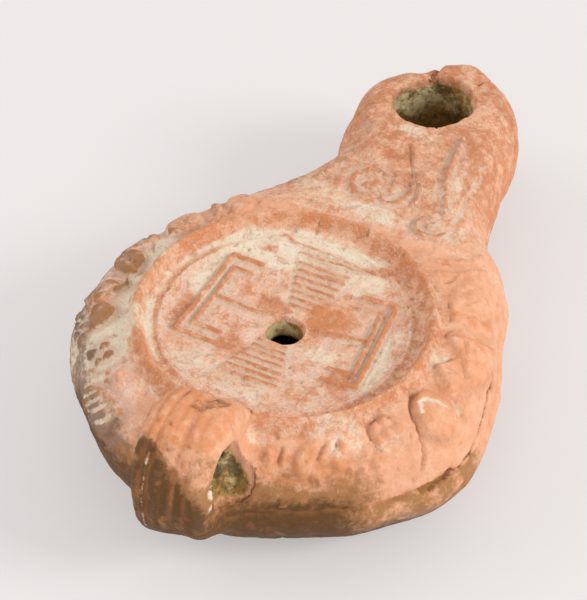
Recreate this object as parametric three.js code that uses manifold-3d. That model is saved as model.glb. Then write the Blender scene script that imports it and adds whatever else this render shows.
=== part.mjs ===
// A mould-made Roman oil lamp in fired clay, empty and open, standing on its flat base.
// Millimetres, +Z up, +Y from the filling hole towards the nozzle, origin under the filling hole on the base plane.
import * as THREE from 'three';
import { mergeVertices } from 'three/addons/utils/BufferGeometryUtils.js';
import Module from 'manifold-3d';

// Round body
const bodyRadius = 32;
const bodyOffsetX = -0.6;
const bodyOffsetY = 0.8;
const baseRadius = 17;
const seamHeight = 12;
const shoulderHeight = 22.2;
const shoulderRounding = 9;
const lowerMouldShiftX = 0.9;
const lowerMouldShiftY = -0.1;
const seamBlend = 1.5;
const wall = 3.4;

// Discus, sunk inside its ring
const ringRadius = 22.1;
const ringHalfWidth = 1.7;
const ringRise = 2.2;
const ringSlope = 3.5;
const ridgeRadius = 18.7;
const ridgeHalfWidth = 0.8;
const ridgeRise = 0.45;
const discusHeight = 20.4;
const discusDish = 1.2;
const fillingHoleRadius = 3;
const holeLip = 0.5;

// Nozzle, reaching out along +Y
const nozzleReach = 55.8;
const nozzleOffsetX = 0.3;
const nozzleRadius = 13.8;
const nozzleHeight = 22.3;
const nozzleRounding = 6;
const nozzleFillet = 4;
const neckRadius = 11.8;
const neckLength = 20;
const neckOffsetX = 2.2;
const neckFillet = 22;
const nozzleUnderside = 4;
const nozzleUnderRounding = 13;
const wickHoleRadius = 6.3;
const wickHoleAdvance = 0.3;
const wickThroatRadius = 5.2;

// Broken step in the nozzle's rim
const breakX = -2.3;
const breakWidth = 1.1;
const breakDepth = 2.6;
const breakDrop = 1.2;

// Pierced lug handle at the rear
const handleWidth = 12;
const handleLength = 19.6;
const handleHeight = 21.2;
const handleRise = 7.3;
const handleOverhang = 7.6;
const handleOffsetX = -1;
const handleRounding = 2.6;
const handleGrooveDepth = 0.6;
const handleGrooveWidth = 1.5;
const handleGrooves = [-3.4, 0.9];
const fingerHoleLength = 5.6;
const fingerHoleHeight = 6.4;
const fingerHoleFlare = 1;
const fingerHoleBar = 4;
const fingerHoleSetback = 1;

// Groove round the base
const baseGrooveWidth = 1;
const baseGrooveDepth = 0.6;
const baseGrooveMargin = 2;

// Raised carving
const lineWidth = 0.9;
const lineRise = 0.42;
const leafRise = 0.85;
const leafWidth = 2.6;
const curlWidth = 1.1;
const knobRadius = 1.25;
const carvingDepth = 0.7;

// Fineness of the faceted surfaces
const outerColumns = 72;
const innerColumns = 32;
const holeSegments = 20;
const handleSegments = 24;
const raySteps = 30;
// Rows of the underside, as shares of the way out from its centre
const undersideShares = [0.91, 0.82, 0.7, 0.56, 0.3];

const bodyRear = bodyOffsetY - bodyRadius;
const ringEdge = ringRadius + ringHalfWidth;
const wickHoleX = nozzleOffsetX;
const wickHoleY = nozzleReach + wickHoleAdvance;
const nozzleTip = nozzleReach + nozzleRadius;
const handleTop = shoulderHeight + handleRise;
const handleY = bodyRear - handleOverhang + handleLength / 2;
const handleZ = handleTop - handleHeight / 2;
const fingerHoleY = handleY - fingerHoleSetback;
const fingerHoleZ = handleTop - fingerHoleBar - fingerHoleHeight / 2;

const wasm = await Module();
wasm.setup();

const { clamp, lerp, smoothstep } = THREE.MathUtils;

function smoothMax(a, b, blend) {
  const share = clamp(0.5 + (0.5 * (a - b)) / blend, 0, 1);
  return lerp(b, a, share) + blend * share * (1 - share);
}

// Distance inside the lamp's outline, seen from above
function planDepth(x, y) {
  const body = bodyRadius - Math.hypot(x - bodyOffsetX, y - bodyOffsetY);
  const along = clamp(y, nozzleReach - neckLength - nozzleRadius / 2, nozzleReach - nozzleRadius / 2);
  const neck = neckRadius - Math.hypot(x - neckOffsetX, y - along);
  const head = nozzleRadius - Math.hypot(x - nozzleOffsetX, y - nozzleReach);
  return smoothMax(smoothMax(neck, head, nozzleFillet), body, neckFillet);
}

function cosineBump(distance, halfWidth) {
  return 0.5 + 0.5 * Math.cos(Math.PI * clamp(Math.abs(distance) / halfWidth, 0, 1));
}

// How far along the way from the ring to the wick hole a point lies
function towardsNozzle(y) {
  return smoothstep(y, ringEdge, wickHoleY - wickHoleRadius);
}

function plateauHeight(x, y, withRings) {
  const radius = Math.hypot(x, y);
  const discus = discusHeight + discusDish * Math.min(radius / ridgeRadius, 1.3) ** 2;
  const shoulder = lerp(shoulderHeight, nozzleHeight, towardsNozzle(y));
  const onShoulder = smoothstep(radius, ringRadius - ringSlope, ringEdge);
  const flat = lerp(discus, shoulder, onShoulder);
  if (!withRings) return flat;
  const ring = ringRise * cosineBump(radius - ringRadius, ringHalfWidth);
  const ridge = ridgeRise * cosineBump(radius - ridgeRadius, ridgeHalfWidth);
  const brokenSide = smoothstep(breakX - x, -breakWidth / 2, breakWidth / 2);
  const brokenEnd = smoothstep(y, wickHoleY - wickHoleRadius, nozzleTip);
  return flat + ring + ridge - breakDrop * brokenSide * brokenEnd;
}

// The lamp's slab: a rounded upper mould half over a rounded lower one, drawn in by an inset on every side
function makeSlab(inset, withRings) {
  function sides(x, y) {
    const nozzleShare = towardsNozzle(y);
    const towardsTip = smoothstep(y, baseRadius, nozzleTip);
    return {
      depth: planDepth(x, y) - inset,
      upperRounding: lerp(shoulderRounding, nozzleRounding, nozzleShare) - inset,
      lowerRounding: lerp(bodyRadius - baseRadius, nozzleUnderRounding, nozzleShare) - inset,
      upperHeight: plateauHeight(x, y, withRings) - seamHeight - inset,
      lowerHeight: seamHeight - nozzleUnderside * towardsTip - inset,
    };
  }
  function field(x, y, z) {
    const shifted = smoothstep(seamHeight - z, -seamBlend / 3, seamBlend) * (1 - towardsNozzle(y));
    const side = sides(x - lowerMouldShiftX * shifted, y - lowerMouldShiftY * shifted);
    const upper = z >= seamHeight;
    const rounding = Math.max(upper ? side.upperRounding : side.lowerRounding, 1);
    const height = upper ? side.upperHeight : side.lowerHeight;
    const outwards = Math.max(1 - side.depth / rounding, 0);
    return Math.hypot(outwards, Math.abs(z - seamHeight) / height) - 1;
  }
  function top(x, y) {
    const side = sides(x, y);
    const outwards = clamp(1 - side.depth / Math.max(side.upperRounding, 1), 0, 1);
    return seamHeight + side.upperHeight * Math.sqrt(1 - outwards * outwards);
  }
  return { depth: (x, y) => planDepth(x, y) - inset, field, top };
}

function castRay(slab, start, direction, reach) {
  let near = 0;
  let far = reach;
  const point = new THREE.Vector3();
  for (let step = 0; step < raySteps; step += 1) {
    const middle = (near + far) / 2;
    point.copy(direction).multiplyScalar(middle).add(start);
    if (slab.field(point.x, point.y, point.z) < 0) near = middle;
    else far = middle;
  }
  return point.copy(direction).multiplyScalar((near + far) / 2).add(start);
}

// Distance from the origin, in a direction turned from +Y towards +X, at which the outline is a given depth away
function reachAtDepth(slab, angle, depth) {
  let near = 0;
  let far = nozzleTip + nozzleRadius;
  for (let step = 0; step < raySteps; step += 1) {
    const middle = (near + far) / 2;
    if (slab.depth(middle * Math.sin(angle), middle * Math.cos(angle)) > depth) near = middle;
    else far = middle;
  }
  return (near + far) / 2;
}

// Points spaced evenly along the curve that lies a given depth inside the outline
function insetCurve(slab, depth, columns) {
  const fine = [];
  const lengths = [0];
  const samples = columns * 24;
  for (let i = 0; i <= samples; i += 1) {
    const angle = Math.PI * ((2 * i) / samples - 1);
    const reach = reachAtDepth(slab, angle, depth);
    fine.push(new THREE.Vector2(reach * Math.sin(angle), reach * Math.cos(angle)));
    if (i > 0) lengths.push(lengths[i - 1] + fine[i].distanceTo(fine[i - 1]));
  }
  const curve = [];
  let nearest = 0;
  for (let column = 0; column < columns; column += 1) {
    const wanted = (lengths[samples] * column) / columns;
    while (lengths[nearest + 1] < wanted) nearest += 1;
    const share = (wanted - lengths[nearest]) / (lengths[nearest + 1] - lengths[nearest]);
    curve.push(fine[nearest].clone().lerp(fine[nearest + 1], share));
  }
  return curve;
}

function outwardNormal(slab, point) {
  const step = 0.01;
  const { x, y } = point;
  const slopeX = slab.depth(x + step, y) - slab.depth(x - step, y);
  const slopeY = slab.depth(x, y + step) - slab.depth(x, y - step);
  return new THREE.Vector2(-slopeX, -slopeY).normalize();
}

// A closed skin of rows from the top centre over the edge to the underside's centre
function slabSolid(slab, { columns, ringRows, outerRows, fanRows }) {
  const skeletonDepth = 2;
  const curve = insetCurve(slab, skeletonDepth, columns);
  const up = new THREE.Vector3(0, 0, 1);
  const down = up.clone().negate();
  const reach = 4 * shoulderHeight;
  const cast = (place, direction) => castRay(slab, new THREE.Vector3(place.x, place.y, seamHeight), direction, reach);
  const rows = ringRows.map(({ radius, every }) => (
    curve.filter((_, i) => i % every === 0).map((p) => cast(p.clone().setLength(radius), up))
  ));
  const lastRadius = ringRows[ringRows.length - 1].radius;
  for (let row = 1; row < outerRows; row += 1) {
    const share = row / outerRows;
    rows.push(curve.map((p) => cast(p.clone().setLength(lerp(lastRadius, p.length(), share)), up)));
  }
  for (let row = 0; row < fanRows; row += 1) {
    const tilt = Math.PI * (0.5 - row / (fanRows - 1));
    rows.push(curve.map((p) => {
      const out = outwardNormal(slab, p);
      return cast(p, new THREE.Vector3(out.x * Math.cos(tilt), out.y * Math.cos(tilt), Math.sin(tilt)));
    }));
  }
  const halved = curve.filter((_, i) => i % 2 === 0);
  for (const share of undersideShares) rows.push(halved.map((p) => cast(p.clone().multiplyScalar(share), down)));
  const centre = new THREE.Vector2();
  return solidFromRows(rows, cast(centre, up), cast(centre, down));
}

// Joins two rows of which one may have several times as many points as the other
function stitch(index, upper, lower) {
  const coarse = upper.length <= lower.length ? upper : lower;
  const fine = coarse === upper ? lower : upper;
  const ratio = fine.length / coarse.length;
  const half = Math.floor(ratio / 2);
  const add = (a, b, c) => (coarse === upper ? index.push(a, b, c) : index.push(a, c, b));
  coarse.forEach((here, i) => {
    const next = coarse[(i + 1) % coarse.length];
    const point = (j) => fine[(i * ratio + j) % fine.length];
    for (let j = 0; j < ratio; j += 1) add(j < half ? here : next, point(j + 1), point(j));
    add(here, next, point(half));
  });
}

// Closes rows of points, listed from the top, with a fan at each end
function solidFromRows(rows, first, last) {
  const points = [first];
  const numbered = rows.map((row) => row.map((point) => points.push(point) - 1));
  points.push(last);
  const index = [];
  const top = numbered[0];
  const bottom = numbered[numbered.length - 1];
  top.forEach((corner, i) => index.push(0, top[(i + 1) % top.length], corner));
  bottom.forEach((corner, i) => index.push(points.length - 1, corner, bottom[(i + 1) % bottom.length]));
  for (let row = 1; row < rows.length; row += 1) stitch(index, numbered[row - 1], numbered[row]);
  return solidFromTriangles(points, index);
}

function solidFromTriangles(points, index) {
  const geometry = new THREE.BufferGeometry().setFromPoints(points);
  geometry.setIndex(index);
  return toSolid(geometry);
}

function toSolid(geometry) {
  geometry.deleteAttribute('normal');
  geometry.deleteAttribute('uv');
  const merged = mergeVertices(geometry, 1e-4);
  const corners = merged.index.array;
  const triangles = [];
  for (let i = 0; i < corners.length; i += 3) {
    const [a, b, c] = corners.slice(i, i + 3);
    if (a !== b && b !== c && c !== a) triangles.push(a, b, c);
  }
  const vertProperties = new Float32Array(merged.attributes.position.array);
  const mesh = new wasm.Mesh({ numProp: 3, vertProperties, triVerts: new Uint32Array(triangles) });
  return new wasm.Manifold(mesh);
}

const outer = makeSlab(0, true);
const cavity = makeSlab(wall, false);

function bodySolid() {
  const ridgeRows = [-1, 0, 1].map((side) => ({ radius: ridgeRadius + side * ridgeHalfWidth, every: 1 }));
  const ringSides = [-1, -0.5, 0, 0.5, 1];
  const ringRows = [
    { radius: ridgeRadius / 2, every: 4 },
    ...ridgeRows,
    ...ringSides.map((side) => ({ radius: ringRadius + side * ringHalfWidth, every: 1 })),
  ];
  return slabSolid(outer, { columns: outerColumns, ringRows, outerRows: 4, fanRows: 10 });
}

function cavitySolid() {
  const ringRows = [{ radius: ridgeRadius / 2, every: 2 }, { radius: ringRadius - ringSlope, every: 1 }];
  return slabSolid(cavity, { columns: innerColumns, ringRows, outerRows: 3, fanRows: 6 });
}

// A round cutter standing on the plan point (x, y), from radius and height pairs
function roundCutter(x, y, profile) {
  const closed = [[0, profile[0][1]], ...profile, [0, profile[profile.length - 1][1]]];
  const outline = closed.map(([radius, height]) => new THREE.Vector2(radius, height));
  const geometry = new THREE.LatheGeometry(outline, holeSegments);
  geometry.rotateX(Math.PI / 2);
  geometry.translate(x, y, 0);
  return toSolid(geometry);
}

function fillingHole() {
  const clear = ringRise + discusDish;
  return roundCutter(0, 0, [
    [fillingHoleRadius, seamHeight],
    [fillingHoleRadius, discusHeight - holeLip],
    [fillingHoleRadius + holeLip, discusHeight + holeLip / 4],
    [fillingHoleRadius + holeLip, discusHeight + clear],
  ]);
}

function wickHole() {
  return roundCutter(wickHoleX, wickHoleY, [
    [wickThroatRadius, seamHeight],
    [wickThroatRadius, nozzleHeight - wall],
    [wickHoleRadius, nozzleHeight - holeLip],
    [wickHoleRadius + holeLip, nozzleHeight + holeLip / 4],
    [wickHoleRadius + holeLip, nozzleHeight + wall],
  ]);
}

// Turns a profile of distance from the axis against place across the lamp about an axis along X
function turnAcross(profile, lengthY, heightZ, x, y, z, segments) {
  const outline = profile.map(([place, radius]) => new THREE.Vector2(radius, place));
  const geometry = new THREE.LatheGeometry(outline, segments);
  geometry.rotateZ(-Math.PI / 2);
  geometry.scale(1, lengthY, heightZ);
  geometry.translate(x, y, z);
  return toSolid(geometry);
}

function handleSolid() {
  const half = handleWidth / 2;
  const shortRadius = Math.min(handleLength, handleHeight) / 2;
  const stations = [];
  for (let step = 0; step <= 3; step += 1) {
    const turn = (Math.PI / 2) * (step / 3);
    stations.push([-half + handleRounding * (1 - Math.cos(turn)), handleRounding * (1 - Math.sin(turn))]);
  }
  for (const middle of handleGrooves) {
    stations.push([middle - handleGrooveWidth / 2, 0]);
    stations.push([middle, handleGrooveDepth]);
    stations.push([middle + handleGrooveWidth / 2, 0]);
  }
  for (let step = 3; step >= 0; step -= 1) {
    const turn = (Math.PI / 2) * (step / 3);
    stations.push([half - handleRounding * (1 - Math.cos(turn)), handleRounding * (1 - Math.sin(turn))]);
  }
  const profile = stations.map(([place, sunk]) => [place, 1 - sunk / shortRadius]);
  const closed = [[-half, 0], ...profile, [half, 0]];
  return turnAcross(closed, handleLength / 2, handleHeight / 2, handleOffsetX, handleY, handleZ, handleSegments);
}

function fingerHole() {
  const half = handleWidth / 2;
  const wide = 1 + fingerHoleFlare / (fingerHoleLength / 2);
  const end = half + fingerHoleFlare * 2;
  const profile = [[-end, 0], [-end, wide], [-half / 2, 1], [half / 2, 1], [end, wide], [end, 0]];
  const halfY = fingerHoleLength / 2;
  const halfZ = fingerHoleHeight / 2;
  return turnAcross(profile, halfY, halfZ, handleOffsetX, fingerHoleY, fingerHoleZ, holeSegments);
}

function baseGroove() {
  const middle = baseRadius - baseGrooveMargin;
  const corners = [[-1, -1], [1, -1], [0, 1], [-1, -1]];
  const outline = corners.map(([across, height]) => (
    new THREE.Vector2(middle + across * baseGrooveWidth, height * baseGrooveDepth)
  ));
  const geometry = new THREE.LatheGeometry(outline, holeSegments * 2);
  geometry.rotateX(Math.PI / 2);
  return toSolid(geometry);
}

// The split in the rim, running from the wick hole out through the nozzle's tip
function rimBreak() {
  const length = nozzleRadius;
  const geometry = new THREE.CylinderGeometry(breakWidth * 0.7, breakWidth * 0.1, breakDepth * 2, 6);
  geometry.rotateX(Math.PI / 2);
  geometry.scale(1, length / breakWidth, 1);
  geometry.translate(breakX, wickHoleY + wickHoleRadius + length / 2, nozzleHeight);
  return toSolid(geometry);
}

// Surface point and normal of the lamp's top
function onTop(x, y) {
  const step = 0.05;
  const slopeX = (outer.top(x + step, y) - outer.top(x - step, y)) / (2 * step);
  const slopeY = (outer.top(x, y + step) - outer.top(x, y - step)) / (2 * step);
  const point = new THREE.Vector3(x, y, outer.top(x, y));
  return { point, normal: new THREE.Vector3(-slopeX, -slopeY, 1).normalize() };
}

// A raised stroke along a path of plan points, lying on the lamp's top and rooted below it
function strokeSolid({ path, width, rise, taper }) {
  const points = [];
  const index = [];
  path.forEach((place, i) => {
    const before = path[Math.max(i - 1, 0)];
    const after = path[Math.min(i + 1, path.length - 1)];
    const { point, normal } = onTop(place.x, place.y);
    const along = new THREE.Vector3(after.x - before.x, after.y - before.y, 0);
    const across = along.cross(normal).normalize();
    const share = i / (path.length - 1);
    const fullness = taper ? 0.45 + 0.55 * Math.sin(Math.PI * share) : 1;
    const half = (width / 2) * fullness;
    const corner = (side, lift) => point.clone().addScaledVector(across, side).addScaledVector(normal, lift);
    points.push(corner(-half, -carvingDepth), corner(half, -carvingDepth));
    points.push(corner(half * 0.45, rise * fullness), corner(-half * 0.45, rise * fullness));
  });
  for (let i = 0; i < path.length - 1; i += 1) {
    for (let side = 0; side < 4; side += 1) {
      const a = i * 4 + side;
      const b = i * 4 + ((side + 1) % 4);
      index.push(a, a + 4, b + 4, a, b + 4, b);
    }
  }
  const end = (path.length - 1) * 4;
  index.push(0, 1, 2, 0, 2, 3, end, end + 2, end + 1, end, end + 3, end + 2);
  return solidFromTriangles(points, index);
}

function knobSolid(place, radius) {
  const { point, normal } = onTop(place.x, place.y);
  const geometry = new THREE.IcosahedronGeometry(radius, 1);
  const centre = point.addScaledVector(normal, leafRise - radius);
  geometry.translate(centre.x, centre.y, centre.z);
  return toSolid(geometry);
}

const plan = (x, y) => new THREE.Vector2(x, y);

function straight(from, to, steps) {
  return Array.from({ length: steps + 1 }, (_, i) => from.clone().lerp(to, i / steps));
}

// Plan points round a centre, angles in degrees from +X
function arc(centre, radius, from, to, steps) {
  return Array.from({ length: steps + 1 }, (_, i) => {
    const angle = THREE.MathUtils.degToRad(lerp(from, to, i / steps));
    return plan(centre.x + radius * Math.cos(angle), centre.y + radius * Math.sin(angle));
  });
}

function line(from, to) {
  const steps = Math.max(1, Math.round(from.distanceTo(to) / 8));
  return { path: straight(from, to, steps), width: lineWidth, rise: lineRise, taper: false };
}

// A point on the discus, as shares of the fine ridge's radius
const onDiscus = (x, y) => plan(x * ridgeRadius, y * ridgeRadius);

// Two square brackets, one inside the other, with one arm to the filling hole
function bracket(side) {
  const frames = [
    { end: 0.46, head: 0.56, foot: -0.4, spineHead: 0.72, spineFoot: 0.78 },
    { end: 0.44, head: 0.445, foot: -0.26, spineHead: 0.65, spineFoot: 0.69 },
  ];
  const lines = frames.flatMap(({ end, head, foot, spineHead, spineFoot }) => [
    line(onDiscus(side * end, head), onDiscus(side * spineHead, head)),
    line(onDiscus(side * spineHead, head), onDiscus(side * spineFoot, foot)),
    line(onDiscus(side * spineFoot, foot), onDiscus(side * end, foot)),
  ]);
  const armHeight = 0.09;
  return [...lines, line(onDiscus(side * 0.25, armHeight), onDiscus(side * 0.66, armHeight))];
}

// Rungs that widen away from the filling hole
function ladder({ firstRung, pitch, rungs, middle, halfWidth, widening }) {
  return Array.from({ length: rungs }, (_, i) => {
    const y = firstRung + pitch * i;
    const half = halfWidth + widening * i;
    return line(onDiscus(middle - half, y), onDiscus(middle + half, y));
  });
}

const discusCarving = [
  ...bracket(-1),
  ...bracket(1),
  ...ladder({ firstRung: -0.25, pitch: -0.077, rungs: 7, middle: -0.02, halfWidth: 0.125, widening: 0.024 }),
  ...ladder({ firstRung: 0.35, pitch: 0.077, rungs: 7, middle: 0.025, halfWidth: 0.14, widening: 0.018 }),
];

// A point of the shoulder band, its angle in degrees from +X and its share of the way from the ring to the outline
function onShoulder(angle, across) {
  const radius = lerp(ringEdge, bodyRadius, across);
  const turn = THREE.MathUtils.degToRad(angle);
  return plan(radius * Math.cos(turn), radius * Math.sin(turn));
}

const bandWidth = bodyRadius - ringEdge;

function curl(centre, radiusShare, from, to) {
  const path = arc(centre, bandWidth * radiusShare, from, to, 5);
  return { path, width: curlWidth, rise: leafRise, taper: true };
}

// Lobes that spread like a hand from the leaf's foot
function leaf(foot, pointing, lengthShare, lobes) {
  const spread = 38;
  return Array.from({ length: lobes }, (_, i) => {
    const offset = i - (lobes - 1) / 2;
    const turn = THREE.MathUtils.degToRad(pointing + spread * offset);
    const length = bandWidth * lengthShare * (1 - 0.18 * Math.abs(offset));
    const tip = plan(foot.x + length * Math.cos(turn), foot.y + length * Math.sin(turn));
    return { path: straight(foot, tip, 2), width: leafWidth, rise: leafRise, taper: true };
  });
}

const shoulderCarving = [
  ...leaf(onShoulder(22, 0.2), 10, 0.48, 3),
  curl(onShoulder(3, 0.25), 0.3, -70, 60),
  curl(onShoulder(-15, 0.38), 0.33, 60, 250),
  curl(onShoulder(-11, 0.7), 0.17, 20, 230),
  ...leaf(onShoulder(-39, 0.1), -50, 0.5, 2),
  ...leaf(onShoulder(-62, 0.1), -55, 0.4, 3),
  ...leaf(onShoulder(149, 0.1), 140, 0.45, 3),
  ...leaf(onShoulder(170, 0.15), 160, 0.5, 3),
  curl(onShoulder(180, 0.35), 0.24, 100, 260),
  ...leaf(onShoulder(193, 0.15), 200, 0.42, 2),
  curl(onShoulder(205, 0.3), 0.2, 60, 300),
  ...leaf(onShoulder(228, 0.12), 225, 0.45, 3),
];

const grapeClusters = [{ angle: -29, across: 0.2 }, { angle: 217, across: 0.4 }];

function grapes() {
  return grapeClusters.flatMap(({ angle, across }) => {
    const middle = onShoulder(angle, across);
    return arc(middle, knobRadius * 1.15, 60, 300, 2).map((place) => knobSolid(place, knobRadius));
  });
}

// A point of the nozzle's top: share of the neck's half width, and of the way from the ring to the wick hole
function onNeck(across, along) {
  return plan(across * neckRadius, lerp(ringEdge, wickHoleY - wickHoleRadius, along));
}

const neckCarving = [
  curl(onNeck(-0.12, 0.4), 0.3, 130, 320),
  curl(onNeck(0.3, 0.4), 0.3, -140, 60),
  curl(onNeck(0.97, 0.16), 0.26, 150, 400),
  curl(onNeck(-0.85, 0.32), 0.24, 200, 380),
  { path: straight(onNeck(0.06, 0.82), onNeck(0.42, 0.46), 3), width: curlWidth, rise: lineRise, taper: true },
  { path: straight(onNeck(0.68, 0.86), onNeck(0.9, 0.34), 4), width: curlWidth, rise: lineRise, taper: true },
];

function carving() {
  const strokes = [...discusCarving, ...shoulderCarving, ...neckCarving].map(strokeSolid);
  return [...strokes, ...grapes()];
}

function lampGeometry() {
  const solids = [handleSolid(), ...carving()];
  const clay = solids.reduce((sum, solid) => sum.add(solid), bodySolid());
  const cuts = [cavitySolid(), fillingHole(), wickHole(), fingerHole(), baseGroove(), rimBreak()];
  const lamp = cuts.reduce((left, cut) => left.subtract(cut), clay);
  const mesh = lamp.getMesh();
  const geometry = new THREE.BufferGeometry();
  geometry.setAttribute('position', new THREE.BufferAttribute(mesh.vertProperties, mesh.numProp));
  geometry.setIndex(new THREE.BufferAttribute(mesh.triVerts, 1));
  geometry.computeVertexNormals();
  return geometry;
}

const terracotta = new THREE.MeshStandardMaterial({ color: 0xbf7656, roughness: 0.85, metalness: 0 });
const lamp = new THREE.Mesh(lampGeometry(), terracotta);
lamp.name = 'oil_lamp';

const group = new THREE.Group();
group.add(lamp);

export default group;
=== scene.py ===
"""A mould-made Roman oil lamp in worn fired clay, on a pale floor.

The fine clay surface is worked out with numpy in millimetres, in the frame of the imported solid: +Z up, +Y from
the filling hole to the nozzle, and the origin under the filling hole on the base plane. It becomes one mesh in
metres.
"""
from __future__ import annotations

import logging
import math
from dataclasses import dataclass, replace
from enum import Enum

import bpy
import numpy as np
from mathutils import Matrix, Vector
from mathutils.geometry import delaunay_2d_cdt

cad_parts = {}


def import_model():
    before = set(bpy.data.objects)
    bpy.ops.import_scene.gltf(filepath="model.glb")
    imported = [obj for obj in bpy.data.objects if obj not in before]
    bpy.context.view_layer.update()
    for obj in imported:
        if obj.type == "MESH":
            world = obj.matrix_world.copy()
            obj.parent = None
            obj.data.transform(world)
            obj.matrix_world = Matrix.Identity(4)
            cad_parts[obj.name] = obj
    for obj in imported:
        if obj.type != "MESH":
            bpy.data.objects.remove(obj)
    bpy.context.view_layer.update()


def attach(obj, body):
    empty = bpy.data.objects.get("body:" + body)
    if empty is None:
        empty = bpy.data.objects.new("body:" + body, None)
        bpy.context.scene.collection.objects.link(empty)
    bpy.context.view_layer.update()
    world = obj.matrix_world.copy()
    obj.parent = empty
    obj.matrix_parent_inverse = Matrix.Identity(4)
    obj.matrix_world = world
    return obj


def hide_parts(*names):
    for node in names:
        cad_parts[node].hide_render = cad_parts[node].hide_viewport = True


LOG = logging.getLogger("oil_lamp")
MM = 0.001
Array = np.ndarray


def smoothstep(low: float, high: float, value: Array) -> Array:
    """Ramp from 0 at low to 1 at high with level ends: t squared times three minus two t.

    Args:
        low: Value at which the ramp is 0.
        high: Value at which the ramp is 1; it may be below low, and then the ramp falls.
        value: Numbers to ramp.

    Returns:
        The ramp at each value.
    """
    share = np.clip((value - low) / (high - low), 0.0, 1.0)
    return share * share * (3.0 - 2.0 * share)


def smooth_max(first: Array, second: Array, blend: float) -> Array:
    """The larger of two numbers, with the corner rounded by a parabola of width blend.

    Args:
        first: One number for each point.
        second: The other number for each point.
        blend: Difference within which the two are blended.

    Returns:
        The rounded maximum.
    """
    share = np.clip(0.5 + 0.5 * (first - second) / blend, 0.0, 1.0)
    return second + (first - second) * share + blend * share * (1.0 - share)


def smooth_min(first: Array, second: Array, blend: float) -> Array:
    """The smaller of two numbers with a rounded corner: minus the rounded maximum of their opposites."""
    return -smooth_max(-first, -second, blend)


def cosine_bump(distance: Array, half_width: float | Array) -> Array:
    """Raised cosine, 1 at distance 0 and 0 from half_width on."""
    share = np.clip(np.abs(distance) / half_width, 0.0, 1.0)
    return 0.5 + 0.5 * np.cos(np.pi * share)


def lattice_value(lattice: Array, seed: int) -> Array:
    """A repeatable number from -1 to 1 for each whole lattice point, from its three integers stirred together.

    Args:
        lattice: Whole numbers, three for each point.
        seed: Picks one of many patterns.

    Returns:
        One number for each point.
    """
    stirred = lattice @ np.array([73856093, 19349663, 83492791]) + seed * 40503
    stirred = (stirred ^ (stirred >> 13)) & 0xFFFFFFFF
    stirred = (stirred * 1274126177) & 0xFFFFFFFF
    stirred = (stirred ^ (stirred >> 16)) & 0xFFFFFF
    return stirred / float(0x7FFFFF) - 1.0


def clay_noise(points: Array, cell: float, seed: int, octaves: int = 1) -> Array:
    """Smooth noise from -1 to 1: lattice values blended between the eight corners of each cell.

    Args:
        points: Places in millimetres, three columns.
        cell: Size of the coarsest cell in millimetres.
        seed: Picks one of many patterns.
        octaves: How many layers are added, each half as large and half as strong.

    Returns:
        One number for each point.
    """
    total = np.zeros(len(points))
    weight_sum = 0.0
    for octave in range(octaves):
        scaled = points / (cell * 0.5**octave)
        base = np.floor(scaled).astype(np.int64)
        share = scaled - base
        share = share * share * (3.0 - 2.0 * share)
        layer = np.zeros(len(points))
        for corner in range(8):
            offset = np.array([corner & 1, corner >> 1 & 1, corner >> 2 & 1])
            weight = np.prod(np.where(offset, share, 1.0 - share), axis=1)
            layer += weight * lattice_value(base + offset, seed + octave)
        total += layer * 0.5**octave
        weight_sum += 0.5**octave
    return total / weight_sum


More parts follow.
